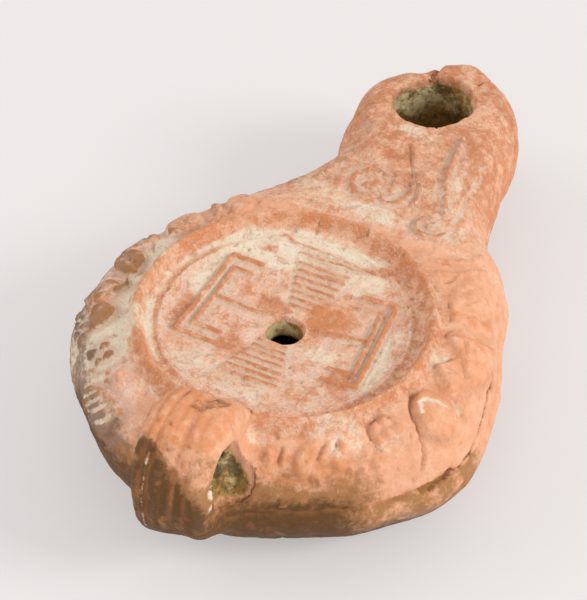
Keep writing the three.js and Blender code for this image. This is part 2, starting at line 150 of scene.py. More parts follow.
@dataclass(frozen=True)
class Body:
    """The hollow slab of the lamp: round body, sunk discus in its ring, and nozzle, in two mould halves."""

    radius: float = 32.0
    centre_x: float = -0.6
    centre_y: float = 0.8
    base_radius: float = 17.0
    seam_z: float = 12.0
    shoulder_z: float = 22.2
    shoulder_rounding: float = 9.0
    lower_shift_x: float = 0.9
    lower_shift_y: float = -0.1
    seam_blend: float = 1.5
    wall: float = 3.4
    ring_radius: float = 22.1
    ring_half_width: float = 1.7
    ring_rise: float = 2.2
    ring_slope: float = 3.5
    ridge_radius: float = 18.7
    ridge_half_width: float = 0.8
    ridge_rise: float = 0.45
    discus_z: float = 20.4
    discus_dish: float = 1.2
    nozzle_reach: float = 55.8
    nozzle_x: float = 0.3
    nozzle_radius: float = 13.8
    nozzle_z: float = 22.3
    nozzle_rounding: float = 6.0
    nozzle_fillet: float = 4.0
    neck_radius: float = 11.8
    neck_length: float = 20.0
    neck_x: float = 2.2
    neck_fillet: float = 22.0
    nozzle_underside: float = 4.0
    nozzle_under_rounding: float = 13.0
    wick_radius: float = 6.3
    wick_advance: float = 0.3
    break_x: float = -2.3
    break_width: float = 1.1
    break_drop: float = 1.2
    tip_corner: float = 1.2
    tip_chip: float = 0.3

    @property
    def ring_edge(self) -> float:
        """Outer foot of the ring."""
        return self.ring_radius + self.ring_half_width

    @property
    def wick_y(self) -> float:
        """Middle of the wick hole."""
        return self.nozzle_reach + self.wick_advance

    @property
    def wick_near(self) -> float:
        """Edge of the wick hole on the discus side."""
        return self.wick_y - self.wick_radius

    @property
    def tip_y(self) -> float:
        """Far end of the nozzle."""
        return self.nozzle_reach + self.nozzle_radius

    def plan_depth(self, x: Array, y: Array) -> Array:
        """Distance inside the outline seen from above: body circle, neck strip and nozzle circle, blended.

        Args:
            x: Places across the lamp.
            y: Places along the lamp.

        Returns:
            The depth in millimetres, negative outside.
        """
        body = self.radius - np.hypot(x - self.centre_x, y - self.centre_y)
        far = self.nozzle_reach - self.nozzle_radius / 2
        along = np.clip(y, far - self.neck_length, far)
        neck = self.neck_radius - np.hypot(x - self.neck_x, y - along)
        turn = np.degrees(np.arctan2(y - self.nozzle_reach, x - self.nozzle_x))
        corner = self.tip_corner * cosine_bump(turn - 78.0, 34.0)
        corner = corner - self.tip_chip * cosine_bump(turn - 128.0, 30.0)
        head = self.nozzle_radius + corner - np.hypot(x - self.nozzle_x, y - self.nozzle_reach)
        return smooth_max(smooth_max(neck, head, self.nozzle_fillet), body, self.neck_fillet)

    def towards_nozzle(self, y: Array) -> Array:
        """0 on the round body, 1 at the wick hole."""
        return smoothstep(self.ring_edge, self.wick_near, y)

    def plateau(self, x: Array, y: Array, with_rings: bool) -> Array:
        """Height of the top before its edge rounds off: dished discus, ring, fine ridge, shoulder and nozzle.

        Args:
            x: Places across the lamp.
            y: Places along the lamp.
            with_rings: Whether the ring, the fine ridge and the break in the rim are there.

        Returns:
            The height in millimetres.
        """
        radius = np.hypot(x, y)
        discus = self.discus_z + self.discus_dish * np.minimum(radius / self.ridge_radius, 1.3) ** 2
        shoulder = self.shoulder_z + (self.nozzle_z - self.shoulder_z) * self.towards_nozzle(y)
        on_shoulder = smoothstep(self.ring_radius - self.ring_slope, self.ring_edge, radius)
        flat = discus + (shoulder - discus) * on_shoulder
        if not with_rings:
            return flat
        ring = self.ring_rise * cosine_bump(radius - self.ring_radius, self.ring_half_width)
        ridge = self.ridge_rise * cosine_bump(radius - self.ridge_radius, self.ridge_half_width)
        broken_side = smoothstep(-self.break_width / 2, self.break_width / 2, self.break_x - x)
        broken_end = smoothstep(self.wick_near, self.tip_y, y)
        return flat + ring + ridge - self.break_drop * broken_side * broken_end

    def roundings(self, y: Array) -> tuple[Array, Array]:
        """Widths of the rounded edge above and below the seam, which change from the round body to the nozzle.

        Args:
            y: Places along the lamp.

        Returns:
            Both widths in millimetres.
        """
        share = self.towards_nozzle(y)
        upper = self.shoulder_rounding + (self.nozzle_rounding - self.shoulder_rounding) * share
        body_rounding = self.radius - self.base_radius
        return upper, body_rounding + (self.nozzle_under_rounding - body_rounding) * share

    def drop(self, y: Array) -> Array:
        """Depth of the underside below the seam, less under the nozzle."""
        return self.seam_z - self.nozzle_underside * smoothstep(self.base_radius, self.tip_y, y)

    def shift_share(self, y: Array, z: Array) -> Array:
        """1 below the round body's seam, where the lower mould half sits aside; 0 above and on the nozzle."""
        share = smoothstep(-self.seam_blend / 3, self.seam_blend, self.seam_z - z)
        return share * (1.0 - self.towards_nozzle(y))

    def field(self, x: Array, y: Array, z: Array, inset: float = 0.0) -> Array:
        """Below 0 inside the slab, whose edge is a quarter ellipse above the seam and another below it.

        Args:
            x: Places across the lamp.
            y: Places along the lamp.
            z: Heights.
            inset: How far every side is drawn in; the wall's thickness gives the cavity.

        Returns:
            The field, near a distance in millimetres close to the surface.
        """
        shifted = self.shift_share(y, z)
        x = x - self.lower_shift_x * shifted
        y = y - self.lower_shift_y * shifted
        depth = self.plan_depth(x, y) - inset
        upper_rounding, lower_rounding = self.roundings(y)
        upper_height = self.plateau(x, y, inset == 0.0) - self.seam_z - inset
        above = z >= self.seam_z
        rounding = np.maximum(np.where(above, upper_rounding, lower_rounding) - inset, 1.0)
        height = np.where(above, upper_height, self.drop(y) - inset)
        outwards = np.maximum(1.0 - depth / rounding, 0.0)
        return (np.hypot(outwards, np.abs(z - self.seam_z) / height) - 1.0) * np.minimum(rounding, height)


@dataclass(frozen=True)
class Handle:
    """The pierced lug handle at the rear: a disc on edge with rounded rims."""

    width: float = 12.0
    length: float = 19.6
    height: float = 21.2
    middle: tuple[float, float, float] = (-1.0, -29.0, 18.9)
    rounding: float = 2.6
    blend: float = 2.4

    def field(self, x: Array, y: Array, z: Array) -> Array:
        """Below 0 inside the disc: an ellipse seen from the side, cut off by two faces, with a rounded rim.

        Args:
            x: Places across the lamp.
            y: Places along the lamp.
            z: Heights.

        Returns:
            The field, near a distance in millimetres close to the surface.
        """
        turn = np.hypot((y - self.middle[1]) / (self.length / 2), (z - self.middle[2]) / (self.height / 2))
        disc = (turn - 1.0) * min(self.length, self.height) / 2
        side = np.abs(x - self.middle[0]) - self.width / 2
        outside = np.hypot(np.maximum(disc + self.rounding, 0.0), np.maximum(side + self.rounding, 0.0))
        return outside + np.minimum(np.maximum(disc, side) + self.rounding, 0.0) - self.rounding


def lamp_field(body: Body, handle: Handle, points: Array) -> Array:
    """Below 0 inside the clay with its cavity filled: body and handle joined by a soft fillet."""
    x, y, z = points.T
    return smooth_min(body.field(x, y, z), handle.field(x, y, z), handle.blend)


def outline_columns(body: Body, count: int) -> tuple[Array, Array]:
    """Points at equal steps along the outline seen from above, and the directions straight out from it.

    Rays leave the filling hole, and each is halved until it meets depth 0; the polyline is then stepped evenly.

    Args:
        body: The slab.
        count: How many columns.

    Returns:
        The points and the outward directions, two columns each.
    """
    angle = np.linspace(0.0, 2.0 * np.pi, 6000, endpoint=False)
    ray = np.stack([np.cos(angle), np.sin(angle)], axis=1)
    near, far = np.zeros(len(angle)), np.full(len(angle), 90.0)
    for _ in range(40):
        middle = (near + far) / 2
        inside = body.plan_depth(ray[:, 0] * middle, ray[:, 1] * middle) > 0
        near, far = np.where(inside, middle, near), np.where(inside, far, middle)
    curve = ray * near[:, None]
    closed = np.vstack([curve, curve[:1]])
    length = np.concatenate([[0.0], np.cumsum(np.hypot(*np.diff(closed, axis=0).T))])
    wanted = np.linspace(0.0, length[-1], count, endpoint=False)
    points = np.stack([np.interp(wanted, length, closed[:, axis]) for axis in (0, 1)], axis=1)
    return points, outward(body, points)


def outward(body: Body, points: Array) -> Array:
    """Direction in the plan in which the depth falls fastest, from its slopes over a short step.

    Args:
        body: The slab.
        points: Places in the plan.

    Returns:
        Directions of length 1.
    """
    step = 0.05
    x, y = points.T
    slope_x = body.plan_depth(x + step, y) - body.plan_depth(x - step, y)
    slope_y = body.plan_depth(x, y + step) - body.plan_depth(x, y - step)
    size = np.maximum(np.hypot(slope_x, slope_y), 1e-9)
    return -np.stack([slope_x / size, slope_y / size], axis=1)


FLIPPED = [0, 2, 1]


def band_faces(rows: int, columns: int) -> Array:
    """Two triangles for each cell of a grid whose columns close into a ring.

    Args:
        rows: How many rings of points.
        columns: How many points in each.

    Returns:
        Three indices a row, outwards where the rings rise and turn anticlockwise seen from above.
    """
    row, column = np.meshgrid(np.arange(rows - 1), np.arange(columns), indexing="ij")
    a = (row * columns + column).ravel()
    b = (row * columns + (column + 1) % columns).ravel()
    return np.concatenate([np.column_stack([a, b, a + columns]), np.column_stack([b, b + columns, a + columns])])


def closed_tube(rings: Array, poles: Array) -> tuple[Array, Array]:
    """A closed surface through rings of points, with a fan of triangles from a pole at either end.

    Args:
        rings: Points of every ring, as rings by columns by three.
        poles: The first and the last pole.

    Returns:
        Points, and triangles that face outwards as those of band_faces do.
    """
    rows, columns = rings.shape[:2]
    ring, last, low = np.arange(columns), (rows - 1) * columns, rows * columns
    nxt = (ring + 1) % columns
    floor = np.column_stack([nxt, ring, np.full(columns, low)])
    roof = np.column_stack([last + ring, last + nxt, np.full(columns, low + 1)])
    return np.vstack([rings.reshape(-1, 3), poles]), np.concatenate([band_faces(rows, columns), floor, roof])


@dataclass(frozen=True)
class Skin:
    """A closed surface over the slab: a fine top cap, rows round the edge, and a coarser cap underneath."""

    body: Body
    inset: float
    with_rings: bool
    columns: int
    top_turn: float
    top_rows: int
    bottom_turn: float
    bottom_rows: int
    discus_step: float
    ring_step: float
    top_step: float
    bottom_step: float

    @classmethod
    def outside(cls, body: Body, with_rings: bool = True) -> Skin:
        """The fine skin of the clay."""
        return cls(body, 0.0, with_rings, columns=700, top_turn=math.radians(50), top_rows=24,
                   bottom_turn=math.radians(60), bottom_rows=18, discus_step=0.27, ring_step=0.3, top_step=0.38,
                   bottom_step=1.0)

    @classmethod
    def inside(cls, body: Body) -> Skin:
        """The coarser skin of the cavity, a wall's thickness in."""
        return cls(body, body.wall, False, columns=180, top_turn=math.radians(50), top_rows=5,
                   bottom_turn=math.radians(42), bottom_rows=6, discus_step=1.5, ring_step=1.5, top_step=1.6,
                   bottom_step=2.2)

    def roundings(self, y: Array) -> tuple[Array, Array]:
        """Widths of this skin's rounded edge above and below the seam, less its inset."""
        upper, lower = self.body.roundings(y)
        return np.maximum(upper - self.inset, 1.0), np.maximum(lower - self.inset, 1.0)

    def height(self, x: Array, y: Array, above: bool = True) -> Array:
        """Height over a place of the plan, before the lower mould half is shifted: a quarter ellipse.

        The full rise or drop is multiplied by the root of one minus the square of the way out over the rounding.

        Args:
            x: Places across the lamp.
            y: Places along the lamp.
            above: Whether the top is meant, or else the underside.

        Returns:
            The height in millimetres.
        """
        body = self.body
        depth = body.plan_depth(x, y) - self.inset
        outwards = np.clip(1.0 - depth / self.roundings(y)[0 if above else 1], 0.0, 1.0)
        level = np.sqrt(1.0 - outwards**2)
        if above:
            return body.seam_z + (body.plateau(x, y, self.with_rings) - body.seam_z - self.inset) * level
        return body.seam_z - (body.drop(y) - self.inset) * level

    def row(self, start: Array, out: Array, turn: float, above: bool) -> Array:
        """One row round the edge, at an angle of the quarter ellipse.

        The place at depth rounding times one minus the angle's cosine is found along each column's own direction.

        Args:
            start: Places to begin from.
            out: Outward direction of each column.
            turn: Angle from the seam in radians.
            above: Whether the row is above the seam.

        Returns:
            The row's places in the plan.
        """
        place = start.copy()
        for _ in range(8):
            rounding = self.roundings(place[:, 1])[0 if above else 1]
            wanted = self.inset + rounding * (1.0 - math.cos(turn))
            place = place + out * (self.body.plan_depth(place[:, 0], place[:, 1]) - wanted)[:, None]
        return place

    def shifted(self, points: Array) -> Array:
        """Points moved with the lower mould half, which sits a little aside of the upper one."""
        share = self.body.shift_share(points[:, 1], points[:, 2])
        return points + share[:, None] * np.array([self.body.lower_shift_x, self.body.lower_shift_y, 0.0])

    def lattice(self, low: Array, high: Array, step: float) -> Array:
        """Places of a triangular lattice over a rectangle of the plan: every second row is half a step aside.

        Args:
            low: The rectangle's lower corner.
            high: Its upper corner.
            step: Distance between places.

        Returns:
            The places, two columns.
        """
        x = np.arange(low[0], high[0], step)
        y = np.arange(low[1], high[1], step * math.sqrt(0.75))
        grid_x, grid_y = np.meshgrid(x, y)
        grid_x = grid_x + np.where(np.arange(len(y)) % 2, step / 2, 0.0)[:, None]
        return np.stack([grid_x.ravel(), grid_y.ravel()], axis=1)

    def cap(self, rim: Array, inner: Array) -> Array:
        """Triangles over the plan region inside a closed rim, through all the inner places.

        Args:
            rim: The rim's places in order.
            inner: Places inside it.

        Returns:
            Three indices a row, counted over the rim and then the inner places.
        """
        places = [Vector(p) for p in np.vstack([rim, inner]).tolist()]
        edges = [(k, (k + 1) % len(rim)) for k in range(len(rim))]
        _, _, faces, origins, _, _ = delaunay_2d_cdt(places, edges, [], 1, 1e-7)
        table = np.array([o[0] for o in origins])
        return table[np.array(faces)]

    def build(self) -> tuple[Array, Array]:
        """The whole closed surface: the rows round the edge, then the places of the top, then those underneath.

        Returns:
            Points in millimetres and triangles that face outwards.
        """
        edge, out = outline_columns(self.body, self.columns)
        turns = [(self.top_turn * (1.0 - k / self.top_rows), True) for k in range(self.top_rows)]
        turns += [(self.bottom_turn * (k / self.bottom_rows) ** 1.25, False) for k in range(self.bottom_rows + 1)]
        rows = [self.row(edge, out, turn, above) for turn, above in turns]
        parts = [np.column_stack([place, self.height(*place.T, above)]) for place, (_, above) in zip(rows, turns)]
        top = self.top_places(rows[0])
        low = self.inner_places(rows[-1], self.bottom_step, False)
        parts += [np.column_stack([top, self.height(*top.T)]), np.column_stack([low, self.height(*low.T, False)])]
        ring, size = np.arange(self.columns), len(rows) * self.columns
        top_table = np.concatenate([ring, size + np.arange(len(top))])
        low_table = np.concatenate([size - self.columns + ring, size + len(top) + np.arange(len(low))])
        faces = np.concatenate([
            top_table[self.cap(rows[0], top)],
            band_faces(len(rows), self.columns)[:, FLIPPED],
            low_table[self.cap(rows[-1], low)][:, ::-1],
        ])
        return self.shifted(np.concatenate(parts)), faces

    def inner_places(self, rim: Array, step: float, above: bool) -> Array:
        """Lattice places at least most of a step inside a rim of equal turn.

        Args:
            rim: The rim's places.
            step: Distance between places.
            above: Whether the rim is the top's, or else the underside's.

        Returns:
            The places, two columns.
        """
        places = self.lattice(rim.min(axis=0), rim.max(axis=0), step)
        turn = self.top_turn if above else self.bottom_turn
        rounding = self.roundings(places[:, 1])[0 if above else 1]
        wanted = self.inset + rounding * (1.0 - math.cos(turn))
        return places[self.body.plan_depth(*places.T) > wanted + 0.75 * step]

    def top_places(self, rim: Array) -> Array:
        """Inner places of the top: fine lattice on the discus, rings round the ring, lattice on the rest.

        Args:
            rim: The top rim's places.

        Returns:
            The places, two columns.
        """
        body = self.body
        outer = self.inner_places(rim, self.top_step, True)
        if not self.with_rings:
            return outer
        ring_in, ring_out = body.ridge_radius + 1.0, body.ring_edge + 0.4
        outer = outer[np.hypot(*outer.T) > ring_out + 0.6 * self.top_step]
        discus = self.lattice(np.array([-ring_in, -ring_in]), np.array([ring_in, ring_in]), self.discus_step)
        discus = discus[np.hypot(*discus.T) < ring_in - 0.6 * self.discus_step]
        count = int(round((ring_out - ring_in) / self.ring_step)) + 1
        columns = int(round(2.0 * np.pi * ring_in / self.ring_step))
        spokes = np.linspace(0, 2 * np.pi, columns, endpoint=False)
        radius, angle = np.meshgrid(np.linspace(ring_in, ring_out, count), spokes, indexing="ij")
        angle = angle + (np.arange(count) % 2)[:, None] * np.pi / columns
        rings = np.stack([(radius * np.cos(angle)).ravel(), (radius * np.sin(angle)).ravel()], axis=1)
        return np.concatenate([discus, rings, outer])


def mesh_object(name: str, points: Array, faces: Array) -> bpy.types.Object:
    """A mesh object in the scene, smooth shaded.

    Args:
        name: The object's and the mesh's name.
        points: Places in millimetres.
        faces: Three indices a row.

    Returns:
        The object.
    """
    mesh = bpy.data.meshes.new(name)
    mesh.from_pydata((points * MM).tolist(), [], faces.tolist())
    mesh.update()
    mesh.shade_smooth()
    thing = bpy.data.objects.new(name, mesh)
    bpy.context.scene.collection.objects.link(thing)
    return thing


def mesh_vectors(thing: bpy.types.Object, name: str) -> Array:
    """The vector that each point of an object keeps under a name.

    Args:
        thing: The object.
        name: "co" for its place in metres, or "normal".

    Returns:
        Three columns.
    """
    flat = np.empty(len(thing.data.vertices) * 3)
    thing.data.vertices.foreach_get(name, flat)
    return flat.reshape(-1, 3)


def mesh_points(thing: bpy.types.Object) -> Array:
    """An object's points in millimetres."""
    return mesh_vectors(thing, "co") / MM


def set_points(thing: bpy.types.Object, points: Array) -> None:
    """Moves an object's points to places in millimetres."""
    thing.data.vertices.foreach_set("co", (points * MM).ravel())
    thing.data.update()


class Join(Enum):
    """The two ways in which one solid acts on another."""

    ADD = "UNION"
    CUT = "DIFFERENCE"


def combine(thing: bpy.types.Object, other: bpy.types.Object, way: Join) -> None:
    """Joins or cuts one closed mesh with another and removes the other.

    Args:
        thing: The mesh that stays.
        other: The mesh that acts on it.
        way: Whether it is added or cut away.
    """
    modifier = thing.modifiers.new("combine", "BOOLEAN")
    modifier.operation = way.value
    modifier.solver = "MANIFOLD"
    modifier.object = other
    graph = bpy.context.evaluated_depsgraph_get()
    result = bpy.data.meshes.new_from_object(thing.evaluated_get(graph))
    thing.modifiers.clear()
    before = thing.data
    thing.data = result
    bpy.data.meshes.remove(before)
    bpy.data.meshes.remove(other.data)


@dataclass(frozen=True)
class Stroke:
    """A modelled line of clay: a ridge or a groove along a path on the surface."""

    path: Array
    half_width: float
    rise: float
    taper: float = 0.0
    crisp: float = 0.45

    def lift(self, points: Array) -> Array:
        """Height over the surface at each point, from its distance to the path.

        The height is full within crisp times the half width, falls smoothly to 0 at the half width, and the half
        width narrows by the taper's share towards both ends of the path.

        Args:
            points: Places on the surface in millimetres.

        Returns:
            One height for each place, negative for a groove.
        """
        best = np.zeros(len(points))
        start, end = self.path[:-1], self.path[1:]
        steps = np.linalg.norm(end - start, axis=1)
        total = max(float(steps.sum()), 1e-9)
        begun = np.concatenate([[0.0], np.cumsum(steps)])
        for k in range(len(start)):
            along = end[k] - start[k]
            square = max(float(along @ along), 1e-12)
            share = np.clip((points - start[k]) @ along / square, 0.0, 1.0)
            distance = np.linalg.norm(points - start[k] - share[:, None] * along, axis=1)
            place = (begun[k] + share * steps[k]) / total
            width = self.half_width * (1.0 - self.taper * np.abs(2.0 * place - 1.0) ** 2)
            lift = smoothstep(1.0, self.crisp, distance / np.maximum(width, 1e-6))
            best = np.maximum(best, lift)
        return best * self.rise


class Where(Enum):
    """The three fields of ornament and how places on them are read.

    On the discus and the nozzle a place is x and y in millimetres. On the shoulder it is the angle from +X in
    degrees and the distance in millimetres from the ring's outer edge, along the surface.
    """

    DISCUS = "discus"
    SHOULDER = "shoulder"
    NOZZLE = "nozzle"


DEGREE_ON_SHOULDER = 0.471
DEGREE_ON_SEAM = 0.56


def flat_place(where: Where, place: tuple[float, float]) -> tuple[float, float]:
    """A place in flat millimetres: on the shoulder, an angle counts as its length half way down."""
    return (place[0] * DEGREE_ON_SHOULDER, place[1]) if where is Where.SHOULDER else place


def rounded_path(corners: list[tuple[float, float]], closed: bool = False) -> Array:
    """A smooth path through its corners: cubics whose slope at each is half the step between its neighbours.

    Args:
        corners: Places to pass through.
        closed: Whether the last joins the first.

    Returns:
        Closely spaced places, two columns.
    """
    knots = np.array(corners, float)
    if closed:
        before, after, far = np.roll(knots, 1, 0), np.roll(knots, -1, 0), np.roll(knots, -2, 0)
        start = knots
    else:
        padded = np.vstack([knots[:1], knots, knots[-1:]])
        before, start, after, far = padded[:-3], padded[1:-2], padded[2:-1], padded[3:]
    share = np.linspace(0.0, 1.0, 7)[:-1][None, :, None]
    slope_in, slope_out = (after - before)[:, None] / 2, (far - start)[:, None] / 2
    p, q = start[:, None], after[:, None]
    path = ((2 * share**3 - 3 * share**2 + 1) * p + (share**3 - 2 * share**2 + share) * slope_in
            + (3 * share**2 - 2 * share**3) * q + (share**3 - share**2) * slope_out).reshape(-1, 2)
    return path if closed else np.vstack([path, knots[-1:]])


@dataclass(frozen=True)
class Line:
    """A ridge, or a groove where its rise is negative, along a path."""

    where: Where
    corners: list[tuple[float, float]]
    width: float
    rise: float
    taper: float = 0.5
    straight: bool = False
    deposit: float = 0.0

    def lift(self, places: Array) -> Array:
        """Share of the rise over each place: 1 on the path, falling smoothly to 0 at half the width.

        Args:
            places: Flat places.

        Returns:
            A share from 0 to 1.
        """
        flat = [flat_place(self.where, c) for c in self.corners]
        path = np.array(flat) if self.straight else rounded_path(flat)
        return Stroke(path, self.width / 2, 1.0, self.taper, 0.25).lift(places)


@dataclass(frozen=True)
class Lobe:
    """A raised oval, such as a petal or a grape, or a hollow where its rise is negative."""

    where: Where
    at: tuple[float, float]
    long: float
    wide: float
    turn: float
    rise: float
    flat: float = 0.0
    deposit: float = 0.0

    @property
    def corners(self) -> list[tuple[float, float]]:
        """The oval's middle, as a path of one place."""
        return [self.at]

    def lift(self, places: Array) -> Array:
        """Share of the rise over each place, from its way out along and across the oval taken together.

        Args:
            places: Flat places.

        Returns:
            A share from 0 to 1.
        """
        along = np.array([math.cos(math.radians(self.turn)), math.sin(math.radians(self.turn))])
        off = places - np.array(flat_place(self.where, self.at))
        out = np.hypot(off @ along / self.long, (off @ np.array([-along[1], along[0]])) / self.wide)
        return smoothstep(1.0, self.flat, out)


@dataclass(frozen=True)
class Patch:
    """A raised area with a smooth outline, such as a leaf blade."""

    where: Where
    corners: list[tuple[float, float]]
    rise: float
    edge: float
    deposit: float = 0.0

    def lift(self, places: Array) -> Array:
        """Share of the rise over each place: 1 inside the closed outline, falling to 0 across its edge.

        A place is inside where a line from it to the right crosses the outline an odd number of times.

        Args:
            places: Flat places.

        Returns:
            A share from 0 to 1.
        """
        path = rounded_path([flat_place(self.where, c) for c in self.corners], True)
        inside = np.zeros(len(places), bool)
        distance = np.full(len(places), 1e9)
        for p, q in zip(path, np.roll(path, -1, 0)):
            along = q - p
            share = np.clip((places - p) @ along / max(float(along @ along), 1e-12), 0.0, 1.0)
            distance = np.minimum(distance, np.linalg.norm(places - p - share[:, None] * along, axis=1))
            crosses = (p[1] > places[:, 1]) != (q[1] > places[:, 1])
            reach = (places[:, 1] - p[1]) * along[0] / (along[1] if along[1] else 1e-12) + p[0]
            inside ^= crosses & (places[:, 0] < reach)
        return smoothstep(-self.edge / 2, self.edge / 2, np.where(inside, distance, -distance))


Ornament = list[Line | Lobe | Patch]


def bracket(corners: list[tuple[float, float]], width: float, rise: float) -> Line:
    """A square bracket open towards the filling hole: a return, the spine and the other return."""
    return Line(Where.DISCUS, corners, width, rise, 0.0, True)


def ladder(rungs: list[tuple[float, float, float]], width: float, rise: float) -> Ornament:
    """Short lines one over another: height in the plan, left end and right end of each, which slope a little."""
    return [
        Line(Where.DISCUS, [(left, y + 0.1), (right, y - 0.1)], width, rise, 0.4, True)
        for y, left, right in rungs
    ]


def discus_ornament() -> Ornament:
    """Two nested brackets either side of the filling hole, rungs above and below it, and faint lines between.

    Returns:
        The items.
    """
    on = Where.DISCUS
    return [
        bracket([(-8.6, 10.6), (-13.4, 10.6), (-14.6, -7.4), (-7.3, -7.4)], 1.25, 0.36),
        bracket([(-9.6, 8.3), (-12.2, 8.3), (-12.7, -4.9), (-8.3, -4.9)], 1.1, 0.3),
        bracket([(8.1, 10.5), (13.6, 10.5), (14.9, -7.7), (9.5, -7.7)], 1.25, 0.36),
        bracket([(8.4, 8.4), (12.0, 8.4), (13.4, -5.1), (9.5, -5.1)], 1.1, 0.3),
        Line(on, [(-12.2, 1.9), (-4.6, 1.6)], 1.0, 0.36, 0.3, True),
        Line(on, [(4.2, 1.6), (12.2, 2.1)], 1.0, 0.36, 0.3, True),
        *ladder([(-3.5, -2.7, 2.0), (-4.8, -3.0, 2.2), (-6.1, -3.4, 2.6), (-7.6, -3.9, 3.0), (-9.1, -4.3, 3.5),
                 (-10.5, -4.6, 3.9), (-11.9, -4.9, 4.2)], 0.95, 0.28),
        *ladder([(5.2, -1.6, 2.2), (6.6, -2.0, 3.0), (8.0, -2.4, 3.4), (9.3, -2.9, 3.8), (10.7, -3.2, 4.1),
                 (12.1, -3.4, 4.3), (13.5, -3.8, 4.5), (15.3, -4.5, 5.8)], 0.95, 0.27),
        Line(on, [(-3.0, -4.2), (-5.2, -10.0), (-7.2, -15.2)], 1.6, -0.12, 0.5, True, 0.3),
        Line(on, [(2.6, -3.4), (4.6, -8.5), (5.6, -12.6)], 1.4, -0.08, 0.5, True, 0.2),
        Line(on, [(3.4, 7.0), (5.8, 14.4)], 1.4, -0.08, 0.5, True, 0.2),
        Line(on, [(-1.9, 5.0), (-4.9, 14.6)], 1.3, -0.12, 0.5, True, 0.75),
        Line(on, [(-16.2, 6.0), (-15.2, 9.5), (-12.8, 13.0), (-9.0, 16.0)], 2.6, -0.2, 0.6, False, 1.0),
        Line(on, [(15.6, 4.0), (16.5, -1.0), (16.2, -6.0)], 1.6, -0.2, 0.6, False, 0.8),
        Line(on, [(-8.0, 17.2), (0.0, 16.6), (8.0, 15.4)], 0.8, 0.2, 0.6),
    ]


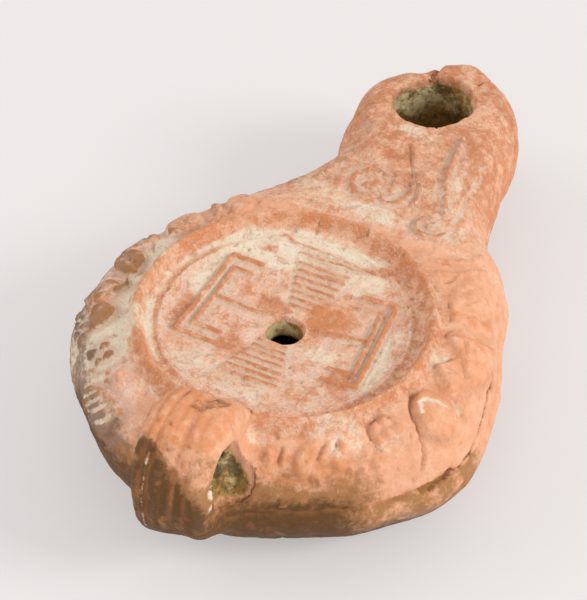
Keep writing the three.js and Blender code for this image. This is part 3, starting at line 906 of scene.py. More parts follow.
def right_shoulder_ornament() -> Ornament:
    """Leaves, a curl in an arch, and clusters on the side that faces right, from the nozzle to the handle.

    Returns:
        The items.
    """
    on = Where.SHOULDER
    return [
        Patch(on, [(20.5, 1.6), (17, 0.4), (12, 2.2), (10, 2.6), (13, 3.6), (19, 3.4)], 0.5, 0.8),
        Patch(on, [(19.5, 3.6), (14, 3.2), (8, 3.4), (3.5, 4.6), (6, 7.4), (16, 9), (23, 8.4), (21, 5.5)],
              0.45, 0.9),
        Patch(on, [(9.6, 2.6), (5.6, 1.4), (1, 0.1), (-3.5, 1.8), (-6, 3.6), (-2, 5.0), (3.4, 4.2), (7.4, 3.2)],
              0.5, 0.8),
        Line(on, [(22.5, 8), (20.4, 5), (19.6, 3), (17.2, 1)], 1.0, -0.42),
        Line(on, [(18.4, 3.2), (15.6, 2.9), (12.6, 3.3)], 0.7, -0.3),
        Line(on, [(10.4, 2.7), (7, 1.5), (3.6, 0.5)], 0.8, -0.36),
        Line(on, [(0.4, 0.3), (-2.6, 1.8), (-4.8, 3.2)], 0.8, -0.36),
        Line(on, [(8.6, 3.4), (5.4, 3.9), (3.6, 4.9)], 0.7, -0.3),
        Line(on, [(2, 1.4), (2.2, 3.4)], 0.7, -0.12),
        Patch(on, [(-9.6, 4.4), (-10, 1.4), (-13, 0.5), (-17, 1.3), (-20.2, 2.9), (-21.5, 5), (-17, 7.4),
                   (-11.5, 6.6)], 0.62, 1.0),
        Line(on, [(-9.2, 5.2), (-9.6, 2.4), (-10.4, 0.9), (-13.5, 0.2), (-17, 0.8), (-20, 2), (-22, 4),
                  (-23.2, 5.5)], 0.95, -0.42),
        Line(on, [(-12, 4), (-13.2, 2.7), (-15.8, 1.8), (-19.2, 3)], 1.2, -0.34, 0.4, False, 1.0),
        Line(on, [(-14.2, 4.6), (-16, 3.8), (-18.4, 4.4)], 1.0, 0.3, 0.5, False, 0.2),
        Line(on, [(-6.6, 4.8), (-7.4, 6.0), (-8.4, 7)], 1.5, -0.3, 0.8, False, 1.0),
        Line(on, [(-10.4, 5.0), (-11.4, 6.2), (-12.8, 7.3)], 1.0, -0.26, 0.8, False, 1.0),
        Line(on, [(-5.0, 4.4), (-6.0, 6.4), (-7.6, 8.0)], 1.0, 0.3, 0.7),
        Line(on, [(-23.4, 5.8), (-24.4, 7.6), (-26.2, 9.4)], 0.5, -0.4, 0.4),
        Lobe(on, (-30, 1.0), 1.4, 1.3, 80, 0.6),
        Lobe(on, (-34, 1.2), 1.5, 1.2, 60, 0.6),
        Lobe(on, (-31.5, 2.8), 1.4, 1.1, 20, 0.55),
        Lobe(on, (-35.5, 3.2), 1.2, 1.0, 20, 0.45),
        Lobe(on, (-28, 3.0), 1.1, 1.0, 20, 0.4),
        Line(on, [(-27.4, 0.6), (-29.6, -0.1), (-33, 0.1), (-36.2, 1.2), (-36.6, 3.0), (-35.4, 4.8)], 0.8, -0.34),
        Lobe(on, (-38, 6.0), 1.5, 0.9, 70, 0.5), Lobe(on, (-42, 6.4), 1.2, 0.9, 90, 0.45),
        Lobe(on, (-45.6, 5.8), 1.2, 0.8, 90, 0.4), Lobe(on, (-40.5, 4.4), 1.0, 0.8, 40, 0.35),
        Lobe(on, (-49, 4.8), 1.6, 1.0, 60, 0.4), Lobe(on, (-46.5, 2.4), 1.5, 1.0, 80, 0.35),
        Lobe(on, (-51, 7.2), 1.5, 0.9, 80, 0.4), Lobe(on, (-56, 6.2), 1.5, 1.0, 70, 0.4),
        Line(on, [(-51.4, 1.2), (-53.4, 2.2), (-55.4, 3.8)], 0.9, -0.4),
        Line(on, [(-47.6, 1.5), (-48.2, 2.3)], 0.6, -0.3),
        Patch(on, [(-54, 1), (-59, 1.6), (-62, 4), (-60, 6.4), (-56.5, 4.4)], 0.4, 1.0),
        Line(on, [(-65.4, 1.4), (-66.6, 2.6), (-67.2, 4.0)], 0.8, -0.34),
        Lobe(on, (-70, 3.0), 1.8, 1.1, 80, 0.4),
        Patch(on, [(29, 1), (34, 1), (40, 2.6), (44, 5.4), (39, 8.4), (30, 9), (26, 6), (26, 3)], 0.3, 1.4),
        Line(on, [(27, 1.0), (31, 0.7), (35, 1.2)], 0.8, -0.3, 0.6),
        Line(on, [(44.5, 1.6), (45.6, 3.0), (47, 4.2)], 0.7, -0.28),
        Line(on, [(28, 3.2), (32, 5.6)], 0.5, -0.14), Line(on, [(33, 3.0), (38, 6.4)], 0.5, -0.14),
        Line(on, [(37, 2.6), (43, 7.0)], 0.5, -0.14), Line(on, [(29, 6.0), (34, 8.8)], 0.5, -0.14),
        Line(on, [(50, 1.5), (47, 5.0), (49, 9.0)], 0.9, 0.3), Line(on, [(56, 2), (52, 6), (54, 10)], 0.9, 0.25),
    ]


def left_shoulder_ornament() -> Ornament:
    """The same run on the side that faces left: a fan, a flower of petals, long lobes and leaves.

    Returns:
        The items.
    """
    on = Where.SHOULDER
    return [
        Patch(on, [(241, 6.4), (239.5, 5.0), (234, 5.0), (227, 6.0), (222, 8.6), (224, 11),
                   (234, 11), (240, 9.6)], 0.5, 0.9),
        Line(on, [(238, 6.6), (236.6, 8.4), (233.4, 9.8)], 1.2, -0.36, 0.5, False, 1.0),
        Line(on, [(234.4, 6.3), (231.6, 8.6), (228.4, 10.2)], 1.1, -0.34, 0.5, False, 1.0),
        Line(on, [(230.8, 6.6), (228, 8.8), (225.4, 10.6)], 1.0, -0.32, 0.5, False, 1.0),
        Line(on, [(227.4, 6.8), (224.6, 9.0), (222.2, 10.6)], 0.9, -0.28, 0.5, False, 0.9),
        Lobe(on, (229.4, 2.6), 1.7, 1.3, 60, 0.62), Lobe(on, (232.4, 3.4), 1.2, 0.9, 90, 0.4),
        Lobe(on, (218.6, 3.0), 1.5, 1.1, 90, 0.6), Lobe(on, (214.2, 3.2), 1.4, 0.9, 95, 0.55),
        Lobe(on, (218.0, 5.0), 1.1, 0.9, 60, 0.5), Lobe(on, (213.6, 5.8), 1.4, 1.0, 90, 0.6),
        Lobe(on, (219.6, 6.4), 0.9, 0.7, 30, 0.4), Lobe(on, (227.4, 4.8), 1.1, 0.8, 40, 0.45),
        Lobe(on, (224.0, 4.0), 0.9, 0.8, 40, 0.3),
        Line(on, [(223.6, 1.6), (222.4, 4.4), (219.8, 7.6)], 1.3, -0.3, 0.5, False, 1.0),
        Line(on, [(211.2, 1.2), (210.4, 4.0), (211.4, 7.6)], 1.8, -0.32, 0.5, False, 1.0),
        Patch(on, [(204.6, 3.4), (202.4, 2.0), (198.8, 1.6), (196.2, 3.0), (197, 4.6),
                   (201, 5.2), (204.4, 5.0)], 0.7, 0.9),
        Line(on, [(196.4, 2.6), (195.6, 4.4), (193.0, 6.6), (190, 9)], 1.0, -0.34),
        Line(on, [(190.4, 2.6), (187.6, 1.2), (184.4, 1.2)], 1.0, 0.4),
        Patch(on, [(195, 3.6), (191, 2.4), (187.4, 2.0), (184.6, 3.6), (186, 6.4), (190.4, 8.4),
                   (194.6, 6.6)], 0.45, 1.0),
        Lobe(on, (205.0, 7.6), 1.8, 1.0, 60, 0.4), Lobe(on, (201.0, 8.4), 1.8, 0.9, 55, 0.4),
        Lobe(on, (197.0, 8.8), 1.9, 0.9, 55, 0.4), Lobe(on, (193.4, 9.6), 1.9, 0.8, 55, 0.35),
        Line(on, [(203, 5.8), (200.4, 8.6), (197.4, 11)], 0.8, -0.3, 0.5, False, 0.9),
        Line(on, [(199.2, 6.0), (196.4, 8.8), (193.6, 11)], 0.8, -0.3, 0.5, False, 0.9),
        Line(on, [(183.4, 1.4), (181.4, 3.6), (178.0, 6.0)], 1.2, -0.3, 0.5, False, 0.6),
        Patch(on, [(181, 1.2), (176, 0.8), (171, 1.8), (169, 4.6), (173, 6.4), (178.6, 4.8)], 0.45, 1.0),
        Line(on, [(176.6, 1.6), (175, 3.4), (171.6, 5.6)], 0.7, -0.26),
        Patch(on, [(170, 6.4), (164, 3.2), (160.4, 2.8), (159, 5.6), (163, 8.6), (168, 8.8)], 0.4, 1.0),
        Line(on, [(167, 1.2), (163.6, 3.0), (160, 6.4)], 0.8, -0.28, 0.5, False, 0.4),
        Patch(on, [(157, 2.2), (151, 0.8), (145, 1.2), (143.4, 4), (147, 6.4), (153.4, 5.8)], 0.45, 1.0),
        Line(on, [(158.4, 2.4), (156.6, 3.6), (155.4, 5.2)], 0.8, -0.3, 0.5, False, 0.8),
        Line(on, [(150.2, 1.8), (148.6, 4.4)], 0.7, -0.2),
        Line(on, [(138.6, 1.8), (135.6, 4.4), (136.4, 7.4)], 0.9, 0.3),
        Patch(on, [(133, 1.6), (127.4, 1.4), (124.6, 4.2), (127.8, 7.6), (132.4, 6.0)], 0.35, 1.0),
    ]


def nozzle_ornament() -> Ornament:
    """Curls, a long ridge and rings on the nozzle's top, between the discus and the wick hole.

    Returns:
        The items.
    """
    on = Where.NOZZLE
    return [
        Line(on, [(0.6, 36.2), (-1.4, 36.8), (-3.4, 35.6), (-3.9, 33.2), (-2.8, 31.0), (-0.6, 30.6)], 1.1, 0.3),
        Line(on, [(-1.9, 34.6), (-2.5, 32.8), (-1.2, 31.9), (0.4, 32.4)], 1.2, -0.3, 0.5, False, 1.0),
        Lobe(on, (-0.2, 33.9), 1.1, 1.0, 0, 0.3),
        Line(on, [(4.3, 38.6), (5.3, 36.2), (5.4, 33.6), (4.6, 31.2), (2.9, 30.4), (1.8, 31.2)], 0.9, 0.28),
        Line(on, [(3.6, 33.8), (3.9, 32.2), (2.9, 31.5)], 1.1, -0.3, 0.6, False, 1.0),
        Line(on, [(1.9, 37.4), (2.6, 34.6), (2.3, 32.8)], 0.8, 0.22),
        Line(on, [(6.0, 36.6), (6.9, 33.6), (6.6, 31.0)], 0.7, 0.28),
        Line(on, [(1.0, 44.6), (2.6, 41.0), (5.0, 36.8)], 0.8, -0.26),
        Line(on, [(8.2, 49.0), (8.6, 44.5), (9.2, 40.4), (10.6, 36.0), (12.0, 32.0)], 1.3, 0.42, 0.4, False, 0.5),
        Line(on, [(7.2, 46.0), (7.9, 40.8), (9.0, 35.4), (10.0, 31.5)], 1.5, -0.2, 0.5, False, 0.75),
        Line(on, [(12.4, 47), (13.0, 41), (13.6, 35), (13.8, 31)], 1.8, -0.2, 0.5, False, 0.45),
        Line(on, [(9.6, 30.0), (9.2, 27.8), (10.6, 26.1), (12.9, 26.3), (13.9, 28.2)], 0.9, 0.4),
        Line(on, [(11.6, 29.4), (11.2, 28.2), (12.2, 27.6), (13.0, 28.6)], 0.8, 0.3, 0.5, False, 0.6),
        Line(on, [(15.0, 30.0), (15.4, 28.0), (16.6, 27.4), (17.4, 29.0)], 0.9, 0.32, 0.5, False, 0.6),
        Line(on, [(-8.9, 33.4), (-8.9, 31.2), (-10.6, 30.2), (-12.2, 31.4)], 1.0, 0.34, 0.5, False, 0.7),
        Line(on, [(-13.0, 34.2), (-13.4, 32.0), (-13.2, 29.6)], 0.7, -0.24),
        Line(on, [(-6.6, 45.6), (-7.6, 47.4), (-8.9, 48.8)], 1.4, -0.3, 0.6, False, 0.5),
        Line(on, [(-5.4, 39.4), (-7.6, 36.4), (-8.6, 34.0)], 1.0, 0.2),
        Lobe(on, (-3.2, 36.0), 0.8, 0.5, 60, -0.3), Lobe(on, (4.7, 36.0), 0.35, 0.3, 0, -0.55, 0.3),
        Line(on, [(-2.5, 61.0), (-2.8, 65.0), (-2.6, 69.4)], 1.3, -0.55, 0.2),
        Line(on, [(5.0, 62.6), (5.8, 69.0)], 1.0, -0.45, 0.2),
        Line(on, [(-8.0, 59.0), (-12.6, 60.5)], 1.0, -0.22, 0.4),
        Lobe(on, (1.1, 42.8), 0.9, 0.5, -60, -0.2), Lobe(on, (-7.9, 47.2), 0.5, 0.35, 0, -0.3),
    ]


@dataclass(frozen=True)
class Unrolled:
    """The shoulder laid flat: the angle round the filling hole and the way down from the ring."""

    skin: Skin
    finest: float = 0.05
    reach: float = 60.0

    def table(self) -> Array:
        """Way down for each whole degree and each step of radius less height, which grows steadily outwards.

        Returns:
            One row for each degree from -180 to 180.
        """
        body = self.skin.body
        angle = np.radians(np.arange(-180, 181))
        near, far = np.full(len(angle), body.ring_edge), np.full(len(angle), 90.0)
        for _ in range(30):
            middle = (near + far) / 2
            inside = body.plan_depth(np.cos(angle) * middle, np.sin(angle) * middle) > 0
            near, far = np.where(inside, middle, near), np.where(inside, far, middle)
        share = 1.0 - (1.0 - np.linspace(0.0, 1.0, 300)) ** 2
        radius = body.ring_edge + (near - body.ring_edge)[:, None] * share
        height = self.skin.height(radius * np.cos(angle)[:, None], radius * np.sin(angle)[:, None])
        way = np.cumsum(np.hypot(np.diff(radius, axis=1), np.diff(height, axis=1)), axis=1)
        way = np.concatenate([np.zeros((len(angle), 1)), way], axis=1)
        steps = np.arange(-10.0, self.reach, self.finest)
        rows = [np.interp(steps, r - z, w) for r, z, w in zip(radius, height, way)]
        beyond = np.maximum(steps[None] - (radius - height)[:, -1:], 0.0)
        before = np.minimum(steps[None] - (radius - height)[:, :1], 0.0)
        return np.array(rows) + beyond + before

    def places(self, points: Array) -> Array:
        """Angle in degrees and way down in millimetres of each point.

        Args:
            points: Places on the shoulder.

        Returns:
            Two columns.
        """
        table = self.table()
        angle = np.degrees(np.arctan2(points[:, 1], points[:, 0]))
        turn = angle + 180.0
        low = np.clip(np.floor(turn).astype(int), 0, 359)
        share = turn - low
        step = (np.hypot(points[:, 0], points[:, 1]) - points[:, 2] + 10.0) / self.finest
        step = np.clip(step, 0.0, table.shape[1] - 2.001)
        column = np.floor(step).astype(int)
        part = step - column
        first = table[low, column] * (1 - part) + table[low, column + 1] * part
        second = table[low + 1, column] * (1 - part) + table[low + 1, column + 1] * part
        return np.stack([angle, first * (1 - share) + second * share], axis=1)


def neighbour_mean(values: Array, edges: Array, rounds: int) -> Array:
    """Each point's value averaged with the mean of its neighbours along the mesh's edges, several times over.

    Args:
        values: One number for each point.
        edges: The two points of each edge.
        rounds: How many times.

    Returns:
        The smoothed numbers.
    """
    count = np.bincount(edges.ravel(), minlength=len(values)).astype(float)
    for _ in range(rounds):
        total = np.bincount(edges[:, 0], values[edges[:, 1]], len(values))
        total += np.bincount(edges[:, 1], values[edges[:, 0]], len(values))
        values = 0.5 * values + 0.5 * total / np.maximum(count, 1.0)
    return values


def near_line(places: Array, corners: list[tuple[float, float]], half_width: float) -> Array:
    """1 on a path of flat places, falling smoothly to 0 at its half width."""
    return Stroke(np.array(corners, float), half_width, 1.0).lift(places)


@dataclass(frozen=True)
class Swell:
    """A place where the uneven outline stands out from the plain form, or draws in, if the amount is negative."""

    turn: float
    half_width: float
    amount: float


BODY_SWELLS = (Swell(-16, 27, 1.9), Swell(-64, 24, -1.3), Swell(52, 24, 2.1), Swell(14, 18, 0.25),
               Swell(155, 22, -0.6), Swell(197, 14, 0.4), Swell(223, 20, -0.7))
NOZZLE_SWELLS = (Swell(45, 24, 0.35), Swell(82, 14, 0.5), Swell(125, 14, -0.55), Swell(168, 20, 0.5),
                 Swell(212, 16, 0.8), Swell(-35, 18, 0.8))


def swelling(points: Array, centre: tuple[float, float], swells: tuple[Swell, ...]) -> Array:
    """How far the outline stands out, from the turn about a centre: the swells' raised cosines added together.

    Args:
        points: Places on the clay.
        centre: The centre in the plan.
        swells: The swells round it.

    Returns:
        Millimetres, negative where the outline draws in.
    """
    turn = np.degrees(np.arctan2(points[:, 1] - centre[1], points[:, 0] - centre[0]))
    total = np.zeros(len(points))
    for swell in swells:
        off = (turn - swell.turn + 180.0) % 360.0 - 180.0
        total += swell.amount * cosine_bump(off, swell.half_width)
    return total


@dataclass(frozen=True)
class Spot:
    """A soft, ragged spot of a stain: its middle, its half sizes along the axes, and its strength."""

    at: tuple[float, float, float]
    size: tuple[float, float, float]
    strength: float = 1.0


CREAM_SPOTS = (
    Spot((-9.0, 14.0, 20), (7.5, 4.2, 9), 1.1), Spot((0.0, 16.4, 20), (10.5, 4.4, 9), 1.2),
    Spot((-14.5, 5.0, 20), (3.2, 8.5, 9), 1.0), Spot((7.5, 13.5, 20), (5.0, 4.5, 9), 0.7),
    Spot((16.0, -1.5, 20), (2.0, 9.0, 9), 0.7), Spot((7.4, -2.9, 20), (3.2, 1.9, 9), 0.75),
    Spot((-2.6, 5.6, 20), (1.3, 3.0, 9), 0.7), Spot((-9.5, -12.0, 20), (6.0, 4.0, 9), 0.5),
    Spot((0.0, -14.5, 20), (9.0, 3.4, 9), 0.5), Spot((10.0, -11.0, 20), (5.0, 4.0, 9), 0.4),
    Spot((2.0, 27.5, 22), (9.0, 2.8, 6), 0.62), Spot((11.8, 38.0, 21), (3.0, 11.0, 7), 0.55),
    Spot((1.0, 47.6, 22), (6.0, 2.0, 5), 0.6), Spot((-8.0, 29.5, 22), (5.5, 3.0, 6), 0.5),
    Spot((23.8, 2.4, 22), (2.2, 3.6, 5), 0.8), Spot((17.0, -17.6, 22), (6.0, 4.0, 5), 0.5),
    Spot((-22.0, -13.0, 20), (6.0, 12.0, 9), 0.85), Spot((-23.6, 3.0, 20), (3.6, 10.0, 7), 0.72),
    Spot((-22.5, 14.0, 20), (2.4, 4.0, 6), 0.4), Spot((6.0, -22.6, 22), (5.0, 2.4, 5), 0.4),
    Spot((22.5, -14.0, 21), (3.4, 3.0, 5), 0.35), Spot((-20.6, -22.4, 17), (3.4, 3.4, 5), 0.66),
    Spot((-28.0, -10.0, 16), (3.0, 9.0, 5), 0.58), Spot((0.0, 33.0, 22), (6.5, 3.6, 5), 0.35),
)
RUBBED_SPOTS = (
    Spot((-3.6, 3.8, 20), (3.8, 3.2, 9)), Spot((-5.6, -6.2, 20), (4.2, 3.2, 9)),
    Spot((12.0, -7.5, 20), (3.6, 3.6, 9)), Spot((-9.5, 14.4, 20), (3.0, 1.4, 9)),
    Spot((4.6, 3.6, 20), (5.4, 4.6, 9)), Spot((-15.6, -3.0, 20), (1.6, 5.0, 9)),
    Spot((2.0, 12.4, 20), (2.2, 0.8, 9)), Spot((8.5, 16.0, 20), (4.0, 1.0, 9)),
    Spot((0.5, 42.0, 22), (3.4, 4.0, 9)),
)
HELD_SPOTS = (
    Spot((5.4, -32.4, 17.8), (2.0, 2.2, 2.2)), Spot((5.0, -34.6, 21.4), (1.4, 1.6, 2.0)),
    Spot((5.6, -35.6, 18.6), (1.0, 1.2, 1.2)),
)
ORANGE_SPOTS = (
    Spot((5.0, 5.0, 20), (6.0, 4.4, 8), 0.72), Spot((-27.2, -7.6, 20), (2.6, 4.0, 5), 0.72),
    Spot((12.0, -25.0, 19), (8.0, 3.6, 4), 0.72), Spot((18.5, -22.5, 19), (5.0, 3.0, 4), 0.72),
)


def spotted(points: Array, spots: tuple[Spot, ...], seed: int) -> Array:
    """The strongest of several spots: 1 at a spot's middle, 0 outside an oval whose edge wanders with noise.

    Args:
        points: Places on the clay.
        spots: The spots.
        seed: Picks the noise.

    Returns:
        One share for each place.
    """
    wander = 0.3 * clay_noise(points, 3.0, seed, 3)
    best = np.zeros(len(points))
    for spot in spots:
        out = np.linalg.norm((points - np.array(spot.at)) / np.array(spot.size), axis=1)
        best = np.maximum(best, spot.strength * smoothstep(1.1, 0.45, out + wander))
    return best


@dataclass(frozen=True)
class Relief:
    """The worked surface, a number for each point: deposit held, raised line, hollow, crest, crack, outside."""

    points: Array
    deposit: Array
    line: Array
    hollow: Array
    crest: Array
    crack: Array
    outside: Array


@dataclass
class Stains:
    """How much of each stain, and of the painted shade, every point of the clay carries, from its place, its
    relief and noise.
    """

    body: Body
    handle: Handle
    relief: Relief

    def __post_init__(self) -> None:
        """Works out what several stains read: places, noise, bare lines, and rubbed and held spots."""
        points = self.relief.points
        self.x, self.y, self.z = points.T
        self.radius = np.hypot(self.x, self.y)
        self.angle = np.degrees(np.arctan2(self.y, self.x))
        self.patchy = clay_noise(points, 4.0, 51, 3)
        self.fine = clay_noise(points, 1.1, 52, 2)
        self.blotch = clay_noise(points, 2.2, 57, 3)
        self.ragged = 2.2 * self.patchy + 0.8 * self.fine
        self.on_discus = smoothstep(19.6, 18.6, self.radius)
        self.inner = np.maximum(self.on_discus, smoothstep(24.0, 27.0, self.y) * smoothstep(52.0, 46.0, self.y))
        buried = smoothstep(9.4, 12.0, self.y) * smoothstep(8.0, 6.0, np.abs(self.x))
        buried = buried * smoothstep(18.4, 17.4, self.radius)
        worn = np.clip(0.78 + 0.8 * self.blotch + 0.5 * self.patchy, 0.15, 1.0)
        self.line = self.relief.line * (1.0 - 0.8 * buried) * worn
        self.rubbed = spotted(points, RUBBED_SPOTS, 77)
        self.streak = clay_noise(points * np.array([1.0, 0.6, 0.22]), 1.1, 66, 2)
        held = 0.85 * cosine_bump(self.x + 4.5 + 0.3 * self.patchy, 0.5) * smoothstep(-35.0, -37.0, self.y)
        held = held * (0.8 + 0.6 * self.patchy)
        self.held = np.maximum(held, spotted(points, HELD_SPOTS, 63))

    def pale(self) -> dict[str, Array]:
        """Cream deposit in spots, grooves and hollows, and the thin haze round it.

        Returns:
            A share for each stain.
        """
        x, y, z, radius, relief, patchy = self.x, self.y, self.z, self.radius, self.relief, self.patchy
        groove = cosine_bump(radius - 20.2, 0.8) * (0.32 + 0.68 * smoothstep(-4.0, -20.0, x))
        groove = groove + 0.7 * cosine_bump(radius - 24.2, 0.9) * smoothstep(0.0, -14.0, x)
        cream = spotted(relief.points, CREAM_SPOTS, 61)
        cream = cream * (0.88 + 0.3 * relief.hollow - 0.8 * relief.crest + 0.3 * patchy + 0.5 * self.blotch)
        cream = cream + 0.85 * groove * (0.75 + 0.5 * patchy)
        cream = np.maximum(cream, self.inner * relief.hollow * (0.62 + 0.5 * patchy)) * (1.0 - 0.85 * self.line)
        cream = cream * (1.0 - 0.65 * self.rubbed)
        frost = 0.30 * self.on_discus + 0.19 * smoothstep(23.5, 25.0, y) * smoothstep(47.0, 38.0, y)
        frost += 0.08 * smoothstep(24.5, 26.5, radius) * smoothstep(12.0, 17.0, z) * smoothstep(26.0, 24.0, y)
        uneven = 0.85 + 0.6 * patchy + 0.6 * self.blotch + 0.2 * self.fine
        uneven = uneven + 0.8 * relief.hollow - 1.0 * relief.crest - 1.0 * self.line
        haze = np.maximum(1.75 * frost, 0.8 * cream) * uneven
        left_side = smoothstep(-7.0, -17.0, x) * smoothstep(23.6, 25.0, radius) * smoothstep(22.0, 8.0, y)
        left_haze = left_side * (0.68 + 0.5 * self.blotch + 0.3 * relief.hollow - 0.4 * relief.crest)
        haze = np.maximum(haze, left_haze) * (1.0 - 0.75 * cosine_bump(radius - 22.2, 1.7))
        haze = haze * (1.0 - 0.7 * self.rubbed)
        cream = np.maximum(np.maximum(cream, relief.deposit * (0.8 + 0.4 * patchy)), self.held)
        in_wick_hole = smoothstep(16.0, 18.0, z) * 0.45 * (0.6 + patchy) * smoothstep(40.0, 50.0, y)
        return {"cream": cream * np.maximum(relief.outside, in_wick_hole), "haze": haze * relief.outside}

    def soot(self) -> Array:
        """Soot low at the rear, down the handle's back, on its top and in the crack.

        Returns:
            Its share.
        """
        x, y, z, ragged, crack = self.x, self.y, self.z, self.ragged, self.relief.crack
        low = smoothstep(17.5, 12.0, z + 0.7 * ragged)
        soot = low * smoothstep(-12.0, -24.0, y) * smoothstep(27.0, 17.0, x)
        soot = np.maximum(soot, 0.9 * smoothstep(9.5, 5.5, z + ragged) * smoothstep(2.0, -16.0, y))
        top = 28.2 - 0.8 * np.maximum(x + 4.5, 0.0)
        rear = smoothstep(-32.5, -35.5, y) * smoothstep(2.4, -2.4, z + 0.8 * ragged - top)
        rear = rear * smoothstep(8.0, 3.4, x + 0.5 * ragged)
        soot = np.maximum(soot, rear * (0.84 + 0.75 * self.streak + 0.3 * self.blotch))
        left_foot = 0.5 * smoothstep(-27.0, -30.0, y) * smoothstep(-4.0, -9.0, x)
        soot = np.maximum(soot, left_foot * smoothstep(18.0, 13.0, z + ragged))
        plan = self.relief.points[:, :2] + 0.9 * self.fine[:, None]
        soot = np.maximum(soot, 0.42 * near_line(plan, [(1.8, -24.8), (-0.2, -27.2)], 2.0) * (z > 26.0))
        in_crack = smoothstep(-0.2, -0.55, crack) * smoothstep(-1.3, -0.9, crack)
        return np.maximum(soot, in_crack) * (1.0 - 0.8 * np.clip(self.held, 0, 1))

    def dark(self) -> dict[str, Array]:
        """Soot, the brown of the left shoulder, the seam and the handle's rear, and a dark coat low on the left
        side and under the seam that is partly soot and partly painted shade.

        Returns:
            A share for each stain.
        """
        x, y, z, ragged, patchy, blotch = self.x, self.y, self.z, self.ragged, self.patchy, self.blotch
        # Low on the left side: partly soot, partly painted shade.
        grey_soot_and_shade = smoothstep(-8.0, -17.0, x) * smoothstep(22.0, 17.0, z + ragged) * smoothstep(14.0, 2.0, y)
        grey_soot_and_shade = grey_soot_and_shade * (0.74 + 0.45 * blotch)
        # Painted shade with some soot: darker towards the bottom, below the seam, all round but the nozzle.
        under = 0.6 * smoothstep(12.0, 7.0, z + patchy) * smoothstep(34.0, 20.0, y) * self.relief.outside
        brown = smoothstep(-14.0, -22.0, x) * smoothstep(23.0, 24.5, self.radius) * smoothstep(22.0, 6.0, y)
        brown = brown * (0.22 + 0.3 * self.relief.crest + 0.25 * self.line + 0.5 * blotch)
        low = 0.8 * smoothstep(21.5, 15.5, z + 0.8 * ragged) * smoothstep(-14.0, -23.0, y)
        brown = np.maximum(brown, low * smoothstep(30.0, 22.0, x))
        rear = 0.36 * smoothstep(-31.0, -34.0, y) * smoothstep(30.0, 27.0, z + patchy)
        brown = np.maximum(brown, rear * (1.0 + 0.6 * self.streak))
        slant = z + 0.5 * ragged - 27.8 + 0.42 * np.maximum(x + 4.5, 0.0)
        behind = smoothstep(-32.5, -35.0, y) * smoothstep(1.4, -1.6, slant) * smoothstep(9.5, 6.0, x)
        brown = np.maximum(brown, behind * (0.86 + 0.3 * blotch))
        band = smoothstep(-70.0, -56.0, self.angle) * smoothstep(2.0, -12.0, self.angle)
        band = band * smoothstep(13.6, 12.2, z + 0.4 * self.fine)
        brown = np.maximum(brown, band * (0.62 + 0.6 * blotch))
        return {"brown": brown * self.relief.outside, "grey_soot_and_shade": np.maximum(grey_soot_and_shade, under), "soot": self.soot()}

    def warm(self) -> dict[str, Array]:
        """Orange on the ring, the ridges and the handle's top, and red on the nozzle and on bare lines.

        Returns:
            A share for each stain.
        """
        x, y, line, ring = self.x, self.y, self.line, cosine_bump(self.radius - 22.1, 1.9)
        orange = 0.66 * ring + (0.4 * self.relief.crest + 0.25 * line) * smoothstep(-24.0, -12.0, x)
        orange = orange + 0.22 * smoothstep(0.1, 0.6, self.patchy)
        orange = orange - 0.35 * ring * smoothstep(0.0, 0.7, self.blotch)
        handle_top = 0.8 * smoothstep(26.0, 28.5, self.z + self.patchy) * smoothstep(-20.0, -24.0, y)
        spots = spotted(self.relief.points, ORANGE_SPOTS, 71)
        orange = np.maximum(np.maximum(orange, handle_top), spots) * (0.8 + 0.4 * self.fine)
        cloudy = clay_noise(self.relief.points, 5.0, 55, 3)
        red = smoothstep(24.0, 34.0, y) * 0.42 + 0.24 * smoothstep(-0.1, 0.5, cloudy)
        red = np.maximum(red, 0.8 * smoothstep(12.5, 15.5, np.abs(x)) * smoothstep(30.0, 44.0, y))
        red = np.maximum(red, (0.66 * self.on_discus + 0.42 * (1.0 - self.on_discus)) * line * self.inner)
        return {"orange": orange, "red": np.maximum(red, 0.56 * self.rubbed)}

    def dirt(self) -> dict[str, Array]:
        """Olive dirt inside the holes and in the chip on the seam, paler and darker in patches.

        Returns:
            A share for each stain.
        """
        x, y, z = self.x, self.y, self.z
        side = np.stack([self.angle * DEGREE_ON_SEAM, z], axis=1)
        side = side + 0.8 * np.stack([self.blotch, self.fine], axis=1)
        path = [(-18.0 * DEGREE_ON_SEAM, 13.0), (-22.5 * DEGREE_ON_SEAM, 12.3), (-27.0 * DEGREE_ON_SEAM, 12.5)]
        chip = near_line(side, path, 1.5) * (self.radius > 25.0)
        dirt = smoothstep(-0.4, -1.6, lamp_field(self.body, self.handle, self.relief.points))
        dirt = np.maximum(dirt, chip * self.relief.outside * (0.5 + 0.7 * self.blotch))
        wall = dirt * smoothstep(10.0, 14.0, z)
        pale = 0.42 + 0.3 * self.patchy + 0.45 * smoothstep(3.0, -5.0, x) * smoothstep(14.0, 19.0, z)
        dark = 0.40 - 0.4 * self.patchy + 0.46 * smoothstep(-24.0, -27.0, y) * smoothstep(15.0, 20.0, z)
        return {"dirt": dirt, "pale_dirt": wall * pale, "dark_dirt": wall * dark}

    def grit(self) -> Array:
        """How sharp the grain is: full on the discus, the nozzle and the left side, and a quarter elsewhere.

        Returns:
            Its share.
        """
        x, y = self.x, self.y
        sharp = smoothstep(23.0, 26.0, y) * smoothstep(16.0, 12.0, x)
        sharp = np.maximum(smoothstep(24.8, 23.4, self.radius), sharp)
        sharp = np.maximum(sharp, smoothstep(-14.0, -20.0, x) * smoothstep(-26.0, -20.0, y))
        return 0.25 + 0.75 * sharp * smoothstep(-25.0, -20.0, y)

    def shares(self) -> dict[str, Array]:
        """Every stain's name and its share at each point, with the grain's sharpness and the painted shade of the
        hollows.
        """
        # hollow: share of the painted shade that darkens the relief's hollows
        hollow = {"grit": self.grit(), "hollow": self.relief.hollow * self.relief.outside}
        return {**hollow, **self.pale(), **self.dark(), **self.warm(), **self.dirt()}


